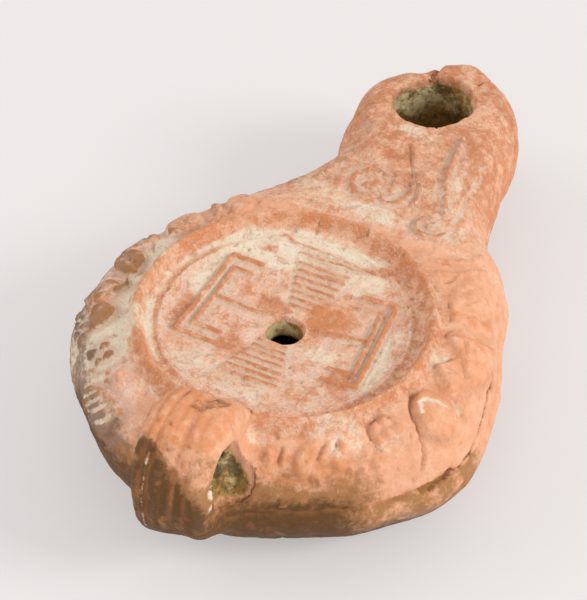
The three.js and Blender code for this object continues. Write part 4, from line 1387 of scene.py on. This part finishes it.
ORNAMENT_DEPTH = 1.9
HANDLE_GROOVES = ((-4.5, 0.5, 0.55), (-2.9, 0.6, 0.5), (-0.9, 0.5, 0.22), (0.8, 1.2, 0.45), (2.9, 0.6, 0.25))
SEAM_PATH = ((24, 15.8), (14, 15.3), (6, 14.8), (-2, 14.1), (-8, 13.5), (-14, 13.0), (-20, 13.2), (-27, 12.8),
             (-36, 12.6), (-46, 12.8), (-62, 12.9), (-74, 13.4), (-84, 13.9))
SEAM_PIT = ((-19.0, 12.9), (-22.5, 12.2), (-26.5, 12.4))


@dataclass(frozen=True)
class Surface:
    """The worn, modelled surface: ornament, handle grooves, seam, chips, unevenness, and the stains and painted
    shade on them.
    """

    body: Body
    handle: Handle
    unrolled: Unrolled

    def ornament(self, points: Array) -> tuple[Array, Array]:
        """Height of the ornament and share of cream deposit that its hollows hold.

        Args:
            points: Places on the lamp's outside.

        Returns:
            Millimetres over the surface, and a share from 0 to 1.
        """
        radius = np.hypot(points[:, 0], points[:, 1])
        way = self.unrolled.places(points)
        angle = np.where(way[:, 0] < -90.0, way[:, 0] + 360.0, way[:, 0])
        shoulder = np.stack([angle * DEGREE_ON_SHOULDER, way[:, 1]], axis=1)
        on_nozzle = (points[:, 1] > 24.0) & (np.abs(points[:, 0]) < 19.0)
        clear = smoothstep(0.2, 1.6, self.handle.field(*points.T))
        height, deposit = np.zeros(len(points)), np.zeros(len(points))
        off_ring, upper = radius > 23.2, points[:, 2] > 11.0
        fields = (
            (discus_ornament(), points[:, :2], radius < 19.4),
            (right_shoulder_ornament(), shoulder, off_ring & upper & (angle > -88.0) & (angle < 66.0)),
            (left_shoulder_ornament(), shoulder, off_ring & upper & (angle > 118.0)),
            (nozzle_ornament(), points[:, :2], off_ring & (points[:, 2] > 14.0) & on_nozzle),
        )
        for items, places, within in fields:
            chosen = np.flatnonzero(within)
            local = places[chosen]
            raised, sunk, cream = np.zeros(len(chosen)), np.zeros(len(chosen)), np.zeros(len(chosen))
            for item in items:
                flat = np.array([flat_place(item.where, c) for c in item.corners])
                margin = 3.0 if len(flat) > 1 else 2.4
                box = np.all((local > flat.min(0) - margin) & (local < flat.max(0) + margin), axis=1)
                at = np.flatnonzero(box)
                lift = item.lift(local[at])
                if item.rise > 0:
                    raised[at] = np.maximum(raised[at], lift * item.rise)
                else:
                    sunk[at] = np.minimum(sunk[at], lift * item.rise * (1.0 - 0.6 * item.deposit))
                cream[at] = np.maximum(cream[at], lift * item.deposit)
            height[chosen] = ORNAMENT_DEPTH * (raised + sunk) * clear[chosen]
            deposit[chosen] = cream * clear[chosen]
        return height, deposit

    def handle_lines(self, points: Array) -> Array:
        """The grooves that run over the handle, the soft ribs between them, its chipped rim and its foot.

        Args:
            points: Places on the lamp's outside.

        Returns:
            Millimetres over the surface, negative in the grooves.
        """
        handle = self.handle
        across, z = points[:, 0] - handle.middle[0], points[:, 2]
        near = np.abs(handle.field(*points.T))
        face = handle.width / 2
        on = smoothstep(0.9, 0.1, near) * smoothstep(face - 0.2, face - 1.4, np.abs(across))
        wander = 0.35 * clay_noise(points, 7.0, 41) + 0.1 * clay_noise(points, 2.0, 42)
        lines = np.zeros(len(points))
        for place, width, depth in HANDLE_GROOVES:
            lines -= depth * cosine_bump(across + wander - place, width)
        lines += 0.18 * cosine_bump(across + wander + 1.2, 1.6) + 0.1 * cosine_bump(across + wander - 2.4, 1.5)
        lines *= smoothstep(12.0, 18.0, z) * (0.65 + 0.5 * clay_noise(points, 3.5, 43))
        rim = 27.4 - 0.45 * np.maximum(across + 3.5, 0.0) + 0.7 * clay_noise(points, 2.2, 44, 2)
        chipped = smoothstep(0.35, -0.35, z - rim) * smoothstep(-32.0, -33.5, points[:, 1])
        chipped *= smoothstep(5.4, 3.4, np.abs(across + 0.6)) * smoothstep(14.0, 22.0, z)
        foot = smoothstep(-31.0, -36.0, points[:, 1]) * smoothstep(17.0, 10.0, z)
        foot = foot * smoothstep(3.0, -3.0, across)
        return lines * on - 0.5 * chipped + 0.9 * foot * smoothstep(1.0, 0.2, near)

    def seam(self, points: Array) -> Array:
        """Depth of the crack along the seam of the two mould halves, with the hole broken into it.

        The side is laid flat, an angle's degree counting as its length at the seam, and the crack follows a path
        there that noise makes wander. Away from the crack a faint groove runs on round the body.

        Args:
            points: Places on the lamp's outside.

        Returns:
            Millimetres, negative in the crack.
        """
        angle = np.degrees(np.arctan2(points[:, 1], points[:, 0]))
        side = np.stack([angle * DEGREE_ON_SEAM, points[:, 2]], axis=1)
        wander = np.stack([np.zeros(len(points)), 0.45 * clay_noise(points, 2.6, 17, 2)], axis=1)
        on_side = np.hypot(points[:, 0], points[:, 1]) > 25
        depth = np.zeros(len(points))
        at = np.flatnonzero((points[:, 2] < 17.0) & (angle > -100) & (angle < 40) & on_side)
        path = [(turn * DEGREE_ON_SEAM, z) for turn, z in SEAM_PATH]
        line = near_line(side[at] + wander[at], path, 0.45)
        line = line * (0.3 + 0.7 * smoothstep(-40.0, -26.0, angle[at]))
        open_share = 0.7 + 0.6 * clay_noise(points[at], 3.0, 23, 2)
        depth[at] = -0.8 * line * np.clip(open_share, 0.25, 1.0)
        noise = [0.9 * clay_noise(points[at], 1.6, 31, 2), 0.9 * clay_noise(points[at], 1.3, 37, 2)]
        pit = [(turn * DEGREE_ON_SEAM, z) for turn, z in SEAM_PIT]
        depth[at] -= 1.1 * near_line(side[at] + np.stack(noise, axis=1), pit, 1.0)
        round_rest = cosine_bump(points[:, 2] - 12.0 - 0.5 * clay_noise(points, 9.0, 29), 0.55)
        elsewhere = smoothstep(24.0, 40.0, np.abs(angle + 30.0)) * on_side
        return depth - 0.16 * round_rest * elsewhere

    def unevenness(self, points: Array) -> Array:
        """Hand-worn waviness, patches of grain, small pits and scrapes of the clay, added together.

        Args:
            points: Places on the clay.

        Returns:
            Millimetres over the surface.
        """
        wave = 0.2 * clay_noise(points, 9.0, 1, 2) + 0.14 * clay_noise(points, 2.8, 2, 2)
        patch = smoothstep(-0.1, 0.5, clay_noise(points, 6.0, 5, 2))
        grain = (0.05 + 0.07 * patch) * clay_noise(points, 0.9, 3, 2)
        pits = -0.34 * smoothstep(0.7, 0.84, clay_noise(points, 1.0, 4))
        scrapes = -0.14 * smoothstep(0.5, 0.75, clay_noise(points * np.array([1.0, 0.45, 1.0]), 1.7, 6))
        return wave + grain + (pits + scrapes)

    def bulge(self, points: Array, normals: Array) -> Array:
        """How far the uneven outline stands out, on the upright sides of the body and the nozzle only.

        Args:
            points: Places on the clay.
            normals: Directions straight out of it.

        Returns:
            Millimetres over the plain form.
        """
        sideways = np.hypot(normals[:, 0], normals[:, 1])
        near_nozzle = smoothstep(26.0, 38.0, points[:, 1])
        outline = (1.0 - near_nozzle) * swelling(points, (self.body.centre_x, self.body.centre_y), BODY_SWELLS)
        outline += near_nozzle * swelling(points, (self.body.nozzle_x, self.body.nozzle_reach), NOZZLE_SWELLS)
        off_handle = smoothstep(0.0, 3.0, self.handle.field(*points.T))
        near_edge = smoothstep(7.0, 3.5, self.body.plan_depth(points[:, 0], points[:, 1]))
        return outline * sideways * off_handle * near_edge * smoothstep(0.8, 4.0, points[:, 2])

    def shape(self, lamp: bpy.types.Object) -> None:
        """Moves every point of the clay along its normal by relief, seam and wear, and stores the stains and the
        painted shade.

        Args:
            lamp: The smooth lamp.
        """
        points, normals = mesh_points(lamp), mesh_vectors(lamp, "normal")
        outside = smoothstep(-1.3, -0.25, lamp_field(self.body, self.handle, points))
        lift, deposit, line, crack = np.zeros((4, len(points)))
        skin = np.flatnonzero(outside > 0.0)
        height, deposit[skin] = self.ornament(points[skin])
        lift[skin] = height + self.handle_lines(points[skin])
        line[skin] = np.clip(height / 0.4, 0.0, 1.0)
        crack[skin] = self.seam(points[skin])
        off_filling_hole = smoothstep(2.6, 5.0, np.hypot(points[:, 0], points[:, 1]))
        wear = self.unevenness(points) * (0.15 + 0.85 * off_filling_hole)
        mouth = (1.0 - outside) * smoothstep(13.0, 17.0, points[:, 2]) * smoothstep(30.0, 40.0, points[:, 1])
        total = (lift + crack + self.bulge(points, normals)) * outside
        total = total + wear * (0.35 + 0.65 * outside + 1.2 * mouth)
        moved = points + normals * (total * smoothstep(0.0, 1.2, points[:, 2]))[:, None]
        moved[:, 2] = np.where(points[:, 2] < 0.02, points[:, 2], np.maximum(moved[:, 2], 0.0))
        set_points(lamp, moved)
        edges = np.empty(len(lamp.data.edges) * 2, np.int32)
        lamp.data.edges.foreach_get("vertices", edges)
        local = (lift + crack + wear) * outside
        bare = neighbour_mean(local, edges.reshape(-1, 2), 14)
        crest = np.clip((local - bare) / 0.16, 0.0, 1.0)
        # How far a point lies below its smoothed neighbours: cream settles there, and the material paints shade
        # there.
        hollow = np.clip((bare - local) / 0.14, 0.0, 1.0)
        relief = Relief(points, deposit, line, hollow, crest, crack, outside)
        for name, values in Stains(self.body, self.handle, relief).shares().items():
            attribute = lamp.data.attributes.new(name, "FLOAT", "POINT")
            attribute.data.foreach_set("value", np.clip(values, 0.0, 1.0).astype(np.float32))


@dataclass(frozen=True)
class Coat:
    """One layer of colour over the clay: what spreads it, its colour, and how ragged its edge is."""

    stain: str
    colour: tuple[float, float, float]
    strength: float
    ragged: float
    softness: float
    cells: float


Socket = bpy.types.NodeSocket
Value = float | Socket
Colour = tuple[float, float, float] | Socket


@dataclass(frozen=True)
class NodeWriter:
    """Adds nodes to a material's tree."""

    tree: bpy.types.NodeTree
    place: Socket

    def noise(self, scale: float, detail: float, roughness: float = 0.6) -> Socket:
        """Noise over the object.

        Args:
            scale: Cells to the metre.
            detail: How many finer layers are added.
            roughness: How strong they are.

        Returns:
            The socket of the noise.
        """
        node = self.tree.nodes.new("ShaderNodeTexNoise")
        for name, value in (("Scale", scale), ("Detail", detail), ("Roughness", roughness)):
            node.inputs[name].default_value = value
        self.tree.links.new(self.place, node.inputs["Vector"])
        return node.outputs["Fac"]

    def attribute(self, name: str) -> Socket:
        """A stain kept at the mesh's points.

        Args:
            name: The stain.

        Returns:
            The socket of its share.
        """
        node = self.tree.nodes.new("ShaderNodeAttribute")
        node.attribute_name = name
        return node.outputs["Fac"]

    def plug(self, socket: Socket, value: Value | Colour) -> None:
        """Sets a socket to a number or a colour, or links another socket to it.

        Args:
            socket: The input.
            value: What it gets.
        """
        if isinstance(value, float):
            socket.default_value = value
        elif isinstance(value, tuple):
            socket.default_value = (*value, 1.0)
        else:
            self.tree.links.new(value, socket)

    def math(self, operation: str, first: Value, second: Value) -> Socket:
        """One sum of two numbers or sockets.

        Args:
            operation: "ADD", "SUBTRACT" or "MULTIPLY".
            first: One number.
            second: The other.

        Returns:
            The socket of the result.
        """
        node = self.tree.nodes.new("ShaderNodeMath")
        node.operation = operation
        self.plug(node.inputs[0], first)
        self.plug(node.inputs[1], second)
        return node.outputs[0]

    def times(self, first: Value, second: Value) -> Socket:
        """One number times another."""
        return self.math("MULTIPLY", first, second)

    def mix(self, share: Socket, first: Colour, second: Colour) -> Socket:
        """One colour laid over another.

        Args:
            share: How much of the second shows.
            first: The colour below.
            second: The colour above.

        Returns:
            The socket of the mixed colour.
        """
        node = self.tree.nodes.new("ShaderNodeMix")
        node.data_type = "RGBA"
        for index, value in ((0, share), (6, first), (7, second)):
            self.plug(node.inputs[index], value)
        return node.outputs[2]

    def ramp(self, value: Socket, low: float, high: float) -> Socket:
        """0 below low, 1 above high, smooth between.

        Args:
            value: The number.
            low: Where the ramp starts.
            high: Where it ends.

        Returns:
            The socket of the ramp.
        """
        node = self.tree.nodes.new("ShaderNodeMapRange")
        node.interpolation_type = "SMOOTHSTEP"
        node.inputs["From Min"].default_value = low
        node.inputs["From Max"].default_value = high
        self.tree.links.new(value, node.inputs["Value"])
        return node.outputs[0]


@dataclass(frozen=True)
class WornTerracotta:
    """Fired clay with a rubbed slip: two clay tones, coats of stain and of painted shade, speckle, and a fine
    grain in the bump.
    """

    name: str = "terracotta"
    light: tuple[float, float, float] = (0.88, 0.495, 0.31)
    deep: tuple[float, float, float] = (0.69, 0.27, 0.125)
    coats: tuple[Coat, ...] = (
        Coat("red", (0.58, 0.20, 0.080), 0.78, 0.9, 0.26, 600.0),
        Coat("orange", (0.72, 0.27, 0.10), 0.8, 0.9, 0.30, 600.0),
        Coat("haze", (0.92, 0.70, 0.57), 0.78, 0.95, 0.34, 1800.0),
        Coat("brown", (0.34, 0.150, 0.040), 0.88, 0.9, 0.30, 700.0),
        # Soot mixed with painted shade, low on the left side and under the seam.
        Coat("grey_soot_and_shade", (0.25, 0.165, 0.12), 0.85, 1.0, 0.26, 620.0),
        Coat("cream", (0.92, 0.79, 0.60), 0.9, 1.1, 0.32, 1300.0),
        Coat("soot", (0.112, 0.047, 0.007), 0.95, 1.0, 0.34, 900.0),
        Coat("dirt", (0.34, 0.18, 0.032), 0.95, 0.5, 0.25, 560.0),
        Coat("pale_dirt", (0.70, 0.58, 0.30), 0.85, 1.1, 0.2, 700.0),
        Coat("dark_dirt", (0.10, 0.065, 0.015), 0.85, 1.1, 0.2, 800.0),
    )
    speck_light: tuple[float, float, float] = (0.93, 0.74, 0.58)
    speck_dark: tuple[float, float, float] = (0.36, 0.14, 0.06)
    pock: tuple[float, float, float] = (0.16, 0.07, 0.03)
    # Colour of the painted shade in the hollows.
    shade: tuple[float, float, float] = (0.50, 0.18, 0.065)
    smoothest: float = 0.48
    roughest: float = 0.82
    gloss: float = 0.34
    bump_strength: float = 0.8
    bump_height: float = 0.0007

    def colour(self, tree: NodeWriter, middle: Socket, speck: Socket) -> Socket:
        """The clay's two tones in clouds, then specks, every coat in turn, pocks, and painted shade that darkens
        the hollows.

        Args:
            tree: Writes the nodes.
            middle: Noise of the clouds.
            speck: Noise of the specks.

        Returns:
            The socket of the colour.
        """
        grit = tree.attribute("grit")
        cloudy = tree.math("ADD", tree.times(tree.noise(140.0, 4.0), 0.3), tree.times(middle, 0.7))
        cloudy = tree.times(tree.math("SUBTRACT", tree.ramp(cloudy, 0.42, 0.58), 0.5), grit)
        colour = tree.mix(tree.math("ADD", cloudy, 0.42), self.light, self.deep)
        pale = tree.times(tree.ramp(tree.noise(2100.0, 3.0, 0.7), 0.53, 0.66), tree.times(grit, 0.6))
        colour = tree.mix(pale, colour, self.speck_light)
        for coat in self.coats:
            ragged = tree.math("SUBTRACT", tree.noise(coat.cells, 9.0, 0.72), 0.5)
            share = tree.math("ADD", tree.attribute(coat.stain), tree.times(ragged, coat.ragged * 2.0))
            share = tree.times(tree.ramp(share, 0.5 - coat.softness, 0.5 + coat.softness), coat.strength)
            colour = tree.mix(share, colour, coat.colour)
        dark = tree.times(tree.ramp(speck, 0.55, 0.68), tree.times(grit, 0.5))
        colour = tree.mix(dark, colour, self.speck_dark)
        pock = tree.times(tree.ramp(tree.noise(1150.0, 2.0, 0.6), 0.74, 0.82), tree.times(grit, 0.8))
        colour = tree.mix(pock, colour, self.pock)
        # Painted shade: the relief's hollows are darkened towards a deep orange-brown.
        return tree.mix(tree.times(tree.attribute("hollow"), 0.36), colour, self.shade)

    def build(self) -> bpy.types.Material:
        """The material: the colour, a roughness that varies with the clouds, and a fine grain in the bump.

        Returns:
            The material.
        """
        material = bpy.data.materials.new(self.name)
        material.use_nodes = True
        nodes, links = material.node_tree.nodes, material.node_tree.links
        shader = nodes["Principled BSDF"]
        tree = NodeWriter(material.node_tree, nodes.new("ShaderNodeTexCoord").outputs["Object"])
        middle, speck = tree.noise(520.0, 5.0, 0.65), tree.noise(2600.0, 3.0, 0.7)
        links.new(self.colour(tree, middle, speck), shader.inputs["Base Color"])
        rough = nodes.new("ShaderNodeMapRange")
        links.new(middle, rough.inputs["Value"])
        rough.inputs["From Min"].default_value, rough.inputs["From Max"].default_value = 0.3, 0.7
        rough.inputs["To Min"].default_value = self.smoothest
        rough.inputs["To Max"].default_value = self.roughest
        links.new(rough.outputs[0], shader.inputs["Roughness"])
        shader.inputs["Specular IOR Level"].default_value = self.gloss
        bump = nodes.new("ShaderNodeBump")
        bump.inputs["Strength"].default_value = self.bump_strength
        bump.inputs["Distance"].default_value = self.bump_height
        grain = tree.math("ADD", tree.noise(900.0, 8.0, 0.72), tree.times(speck, 0.45))
        sharp = tree.math("ADD", tree.times(tree.attribute("grit"), 0.65), 0.35)
        links.new(tree.times(grain, sharp), bump.inputs["Height"])
        links.new(bump.outputs["Normal"], shader.inputs["Normal"])
        return material


@dataclass(frozen=True)
class UprightHole:
    """A round hole with a worn, uneven edge: its place, its ends, and how its edge widens and wanders."""

    radius: float
    x: float
    y: float
    low: float
    top: float
    lip: float
    seed: int
    rough: float
    taper: float = 0.0

    def plug(self) -> bpy.types.Object:
        """The upright plug that cuts it: a profile turned about its line, each spoke scaled by noise.

        The radius grows over the lip's quarter curve near the top, and shrinks below it by the taper.

        Returns:
            The plug.
        """
        below = max(5, int((self.top - 2.2 - self.low) / 0.55))
        height = np.concatenate([
            np.linspace(self.low, self.top - 2.2, below), np.linspace(self.top - 1.9, self.top + 1.0, 14),
            [self.top + 4.0]])
        share = np.clip((height - (self.top - 1.4)) / 1.6, 0.0, 1.0)
        wide = self.radius + self.lip * (1.0 - np.sqrt(1.0 - share**2 * 0.96))
        wide = wide - self.taper * np.clip(self.top - height, 0.0, 3.4)
        columns = max(36, int(2 * np.pi * self.radius / 0.4))
        turn = np.linspace(0.0, 2 * np.pi, columns, endpoint=False)
        ring = np.stack([np.cos(turn) * self.radius, np.sin(turn) * self.radius, np.zeros(columns)], axis=1)
        wobble = 1.0 + self.rough / self.radius * clay_noise(ring, 2.2, self.seed, 3)
        x = self.x + wide[:, None] * np.cos(turn) * wobble
        y = self.y + wide[:, None] * np.sin(turn) * wobble
        rings = np.stack([x, y, np.repeat(height[:, None], columns, axis=1)], axis=2)
        poles = np.array([[self.x, self.y, z] for z in height[[0, -1]]])
        return mesh_object("plug", *closed_tube(rings, poles))


@dataclass(frozen=True)
class FingerHole:
    """The hole across the handle, which flares towards both faces, and its rounded mouth by the shoulder."""

    middle: tuple[float, float, float] = (-1.0, -30.2, 22.1)
    half_length: float = 7.2
    half_size: tuple[float, float] = (2.7, 3.2)
    flare_growth: tuple[float, float] = (1.0, 1.7)
    flare_shift: tuple[float, float] = (1.2, 0.9)
    pole: tuple[float, float] = (-31.6, 21.4)
    mouth_at: tuple[float, float, float] = (5.9, -30.6, 20.7)
    mouth_size: tuple[float, float, float] = (3.0, 4.6, 5.7)

    def plug(self) -> bpy.types.Object:
        """A plug across the handle: ovals along x that grow and sink towards both ends.

        Returns:
            The plug.
        """
        across = np.linspace(-self.half_length, self.half_length, 34)
        flare = smoothstep(1.8, 6.4, np.abs(across))[:, None]
        turn = np.linspace(0.0, 2 * np.pi, 44, endpoint=False)
        unit = np.stack([np.cos(turn), np.sin(turn), np.zeros(len(turn))], axis=1)
        wobble = 1.0 + 0.14 * clay_noise(unit * 2.0, 1.3, 5, 2)
        (x, y, z), (wide, high), (wider, higher) = self.middle, self.half_size, self.flare_growth
        y = y - self.flare_shift[0] * flare + (wide + wider * flare) * np.cos(turn) * wobble
        z = z - self.flare_shift[1] * flare + (high + higher * flare) * np.sin(turn) * wobble
        rings = np.stack([np.repeat(across[:, None] + x, len(turn), axis=1), y, z], axis=2)
        poles = np.array([[end + x, *self.pole] for end in across[[0, -1]]])
        return mesh_object("finger", *closed_tube(rings, poles))

    def mouth(self) -> bpy.types.Object:
        """A rounded, uneven hollow where the hole comes out beside the shoulder: an ellipsoid scaled by noise.

        Returns:
            The hollow's cutter.
        """
        rise = np.linspace(-np.pi / 2, np.pi / 2, 22)[1:-1]
        turn = np.linspace(0.0, 2 * np.pi, 40, endpoint=False)
        level = np.repeat(np.sin(rise)[:, None], len(turn), axis=1)
        ring = [np.outer(np.cos(rise), np.cos(turn)), np.outer(np.cos(rise), np.sin(turn)), level]
        rings = np.stack(ring, axis=2)
        unit, faces = closed_tube(rings, np.array([[0.0, 0.0, -1.0], [0.0, 0.0, 1.0]]))
        uneven = 1.0 + 0.16 * clay_noise(unit, 0.8, 7, 2)
        points = np.array(self.mouth_at) + unit * np.array(self.mouth_size) * uneven[:, None]
        return mesh_object("mouth", points, faces)


@dataclass(frozen=True)
class Lamp:
    """The whole lamp as one piece of clay."""

    body: Body
    handle: Handle
    finger_hole: FingerHole
    fillet_rounds: int = 5

    def outer(self) -> bpy.types.Object:
        """The solid clay of body and handle, with the fillet between them.

        Returns:
            The closed mesh.
        """
        lamp = mesh_object("lamp", *Skin.outside(self.body).build())
        combine(lamp, self.handle_solid(), Join.ADD)
        points = mesh_points(lamp)
        near = np.abs(points[:, 1] - self.handle.middle[1]) < 16.0
        near &= np.abs(points[:, 0] - self.handle.middle[0]) < 14.0
        near &= points[:, 2] > 0.5
        for _ in range(self.fillet_rounds):
            points[near] = self.pulled(points[near])
        set_points(lamp, points)
        return lamp

    def pulled(self, points: Array) -> Array:
        """Points moved one step onto the surface where body and handle blend: minus field over slope squared.

        Args:
            points: Places near the surface.

        Returns:
            Places nearer to it.
        """
        step = 0.02
        slope = np.stack([
            lamp_field(self.body, self.handle, points + axis) - lamp_field(self.body, self.handle, points - axis)
            for axis in np.eye(3) * step], axis=1) / (2 * step)
        square = np.maximum(np.sum(slope**2, axis=1), 0.2)
        move = -lamp_field(self.body, self.handle, points) / square
        return points + slope * np.clip(move, -0.6, 0.6)[:, None]

    def handle_solid(self) -> bpy.types.Object:
        """The handle: rings of the disc's outline from one face to the other, drawn in at both by the rounding.

        Returns:
            The closed mesh.
        """
        handle, half = self.handle, self.handle.width / 2
        face = handle.height / 2 - np.linspace(0.12, 0.86, 14) * (handle.height / 2 - handle.rounding)
        corner = np.linspace(0.0, np.pi / 2, 9)
        drawn_in = np.concatenate([face, handle.rounding * (1.0 - np.sin(corner))])
        outwards = np.concatenate([np.full(len(face), half), half - handle.rounding * (1.0 - np.cos(corner))])
        flat = np.linspace(1.0, -1.0, 24)[1:-1] * (half - handle.rounding)
        drawn = np.concatenate([drawn_in, np.zeros(len(flat)), drawn_in[::-1]])
        across = np.concatenate([outwards, flat, -outwards[::-1]])
        turn = np.linspace(0.0, 2 * np.pi, 190, endpoint=False)
        x = np.repeat((handle.middle[0] + across)[:, None], len(turn), axis=1)
        y = handle.middle[1] + (handle.length / 2 - drawn * handle.length / handle.height)[:, None] * np.cos(turn)
        z = handle.middle[2] + (handle.height / 2 - drawn)[:, None] * np.sin(turn)
        poles = np.array([[handle.middle[0] + side * half, *handle.middle[1:]] for side in (1, -1)])
        points, faces = closed_tube(np.stack([x, y, z], axis=2), poles)
        return mesh_object("handle", points, faces[:, FLIPPED])

    def cavity(self) -> bpy.types.Object:
        """The hollow inside, a wall's thickness in from every side."""
        inner = replace(self.body, nozzle_reach=self.body.wick_y - 3.2, nozzle_radius=12.2)
        return mesh_object("cavity", *Skin.inside(inner).build())

    def build(self) -> bpy.types.Object:
        """The finished form, hollow and with its holes.

        Returns:
            The closed mesh.
        """
        filling = UprightHole(radius=2.95, x=0.0, y=0.0, low=12.0, top=20.4, lip=0.35, seed=3, rough=0.22,
                              taper=0.18)
        wick = UprightHole(radius=self.body.wick_radius, x=0.1, y=self.body.wick_y, low=8.6, top=22.3, lip=0.9,
                           seed=9, rough=0.4)
        lamp = self.outer()
        for cutter in (self.cavity, filling.plug, wick.plug, self.finger_hole.plug, self.finger_hole.mouth):
            combine(lamp, cutter(), Join.CUT)
        lamp.data.shade_smooth()
        return lamp


@dataclass(frozen=True)
class SoftLight:
    """A square lamp over the table, turned to the object."""

    name: str
    place: tuple[float, float, float]
    size: float
    power: float


@dataclass(frozen=True)
class Studio:
    """The pale floor, the soft lights, and the camera where the photograph was taken from."""

    half_floor: float = 3.0
    floor_colour: tuple[float, float, float, float] = (0.42, 0.405, 0.40, 1.0)
    floor_glow: tuple[float, float, float, float] = (0.99, 0.96, 0.955, 1.0)
    floor_glow_strength: float = 0.38
    floor_gloss: float = 0.2
    floor_roughness: float = 0.6
    camera_turn: float = math.radians(25.0)
    camera_rise: float = math.radians(43.6)
    camera_distance: float = 0.480
    target: tuple[float, float, float] = (0.0, 0.0, 0.0244)
    film_width: float = 36.0
    frame: float = 600.0
    focal_length: float = 3254.0
    centre: tuple[float, float] = (8.8, 10.7)
    room_colour: tuple[float, float, float, float] = (1.0, 0.985, 0.97, 1.0)
    room_strength: float = 0.68
    lights: tuple[SoftLight, ...] = (
        SoftLight("key_light", (0.95, 0.1, 0.62), 0.38, 7.4),
        SoftLight("left_light", (-0.9, -0.2, 0.6), 0.8, 3.3),
        SoftLight("front_light", (0.3, -0.95, 0.7), 0.9, 1.7),
    )

    def floor(self) -> None:
        """A square of pale paper that gives off a little light of its own."""
        mesh = bpy.data.meshes.new("floor")
        corners = [(x * self.half_floor, y * self.half_floor, 0) for x, y in ((-1, -1), (1, -1), (1, 1), (-1, 1))]
        mesh.from_pydata(corners, [], [(0, 1, 2, 3)])
        ground = bpy.data.objects.new("floor", mesh)
        bpy.context.scene.collection.objects.link(ground)
        paper = bpy.data.materials.new("pale_floor")
        paper.use_nodes = True
        inputs = paper.node_tree.nodes["Principled BSDF"].inputs
        for name, value in (("Base Color", self.floor_colour), ("Emission Color", self.floor_glow),
                            ("Emission Strength", self.floor_glow_strength),
                            ("Specular IOR Level", self.floor_gloss), ("Roughness", self.floor_roughness)):
            inputs[name].default_value = value
        mesh.materials.append(paper)

    def camera(self) -> None:
        """A camera turned and raised about the target, with the photograph's focal length and middle."""
        level = math.cos(self.camera_rise)
        back = Vector((math.sin(self.camera_turn) * level, -math.cos(self.camera_turn) * level,
                       math.sin(self.camera_rise)))
        camera = bpy.data.cameras.new("camera")
        camera.sensor_width = self.film_width
        camera.lens = self.focal_length * self.film_width / self.frame
        camera.sensor_fit = "AUTO"
        camera.shift_x, camera.shift_y = self.centre[0] / self.frame, self.centre[1] / self.frame
        camera.clip_start = 0.01
        eye = bpy.data.objects.new("camera", camera)
        eye.location = Vector(self.target) + back * self.camera_distance
        eye.rotation_euler = (-back).to_track_quat("-Z", "Y").to_euler()
        bpy.context.scene.collection.objects.link(eye)
        bpy.context.scene.camera = eye

    def light_up(self) -> None:
        """Adds the soft lights and the pale light of the room."""
        for light in self.lights:
            lamp = bpy.data.lights.new(light.name, "AREA")
            lamp.size, lamp.energy = light.size, light.power
            thing = bpy.data.objects.new(light.name, lamp)
            thing.location = light.place
            towards = Vector((0, 0.01, 0.01)) - Vector(light.place)
            thing.rotation_euler = towards.to_track_quat("-Z", "Y").to_euler()
            bpy.context.scene.collection.objects.link(thing)
        world = bpy.data.worlds.new("room")
        world.use_nodes = True
        world.node_tree.nodes["Background"].inputs["Color"].default_value = self.room_colour
        world.node_tree.nodes["Background"].inputs["Strength"].default_value = self.room_strength
        bpy.context.scene.world = world
        bpy.context.scene.view_settings.view_transform = "Standard"

    def build(self) -> None:
        """Adds the floor, the camera and the lights."""
        self.floor()
        self.camera()
        self.light_up()


def main() -> None:
    """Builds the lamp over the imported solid, works and stains its surface, and sets up the studio."""
    logging.basicConfig(level=logging.INFO, format="%(message)s")
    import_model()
    body, handle = Body(), Handle()
    lamp = Lamp(body, handle, FingerHole()).build()
    Surface(body, handle, Unrolled(Skin.outside(body, with_rings=False))).shape(lamp)
    lamp.data.materials.clear()
    lamp.data.materials.append(WornTerracotta().build())
    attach(lamp, "root")
    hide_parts("oil_lamp")
    LOG.info("lamp: %d triangles", sum(len(p.vertices) - 2 for p in lamp.data.polygons))
    Studio().build()
    LOG.info("studio: floor, camera and %d lights", len(Studio().lights))


if __name__ == "__main__":
    main()
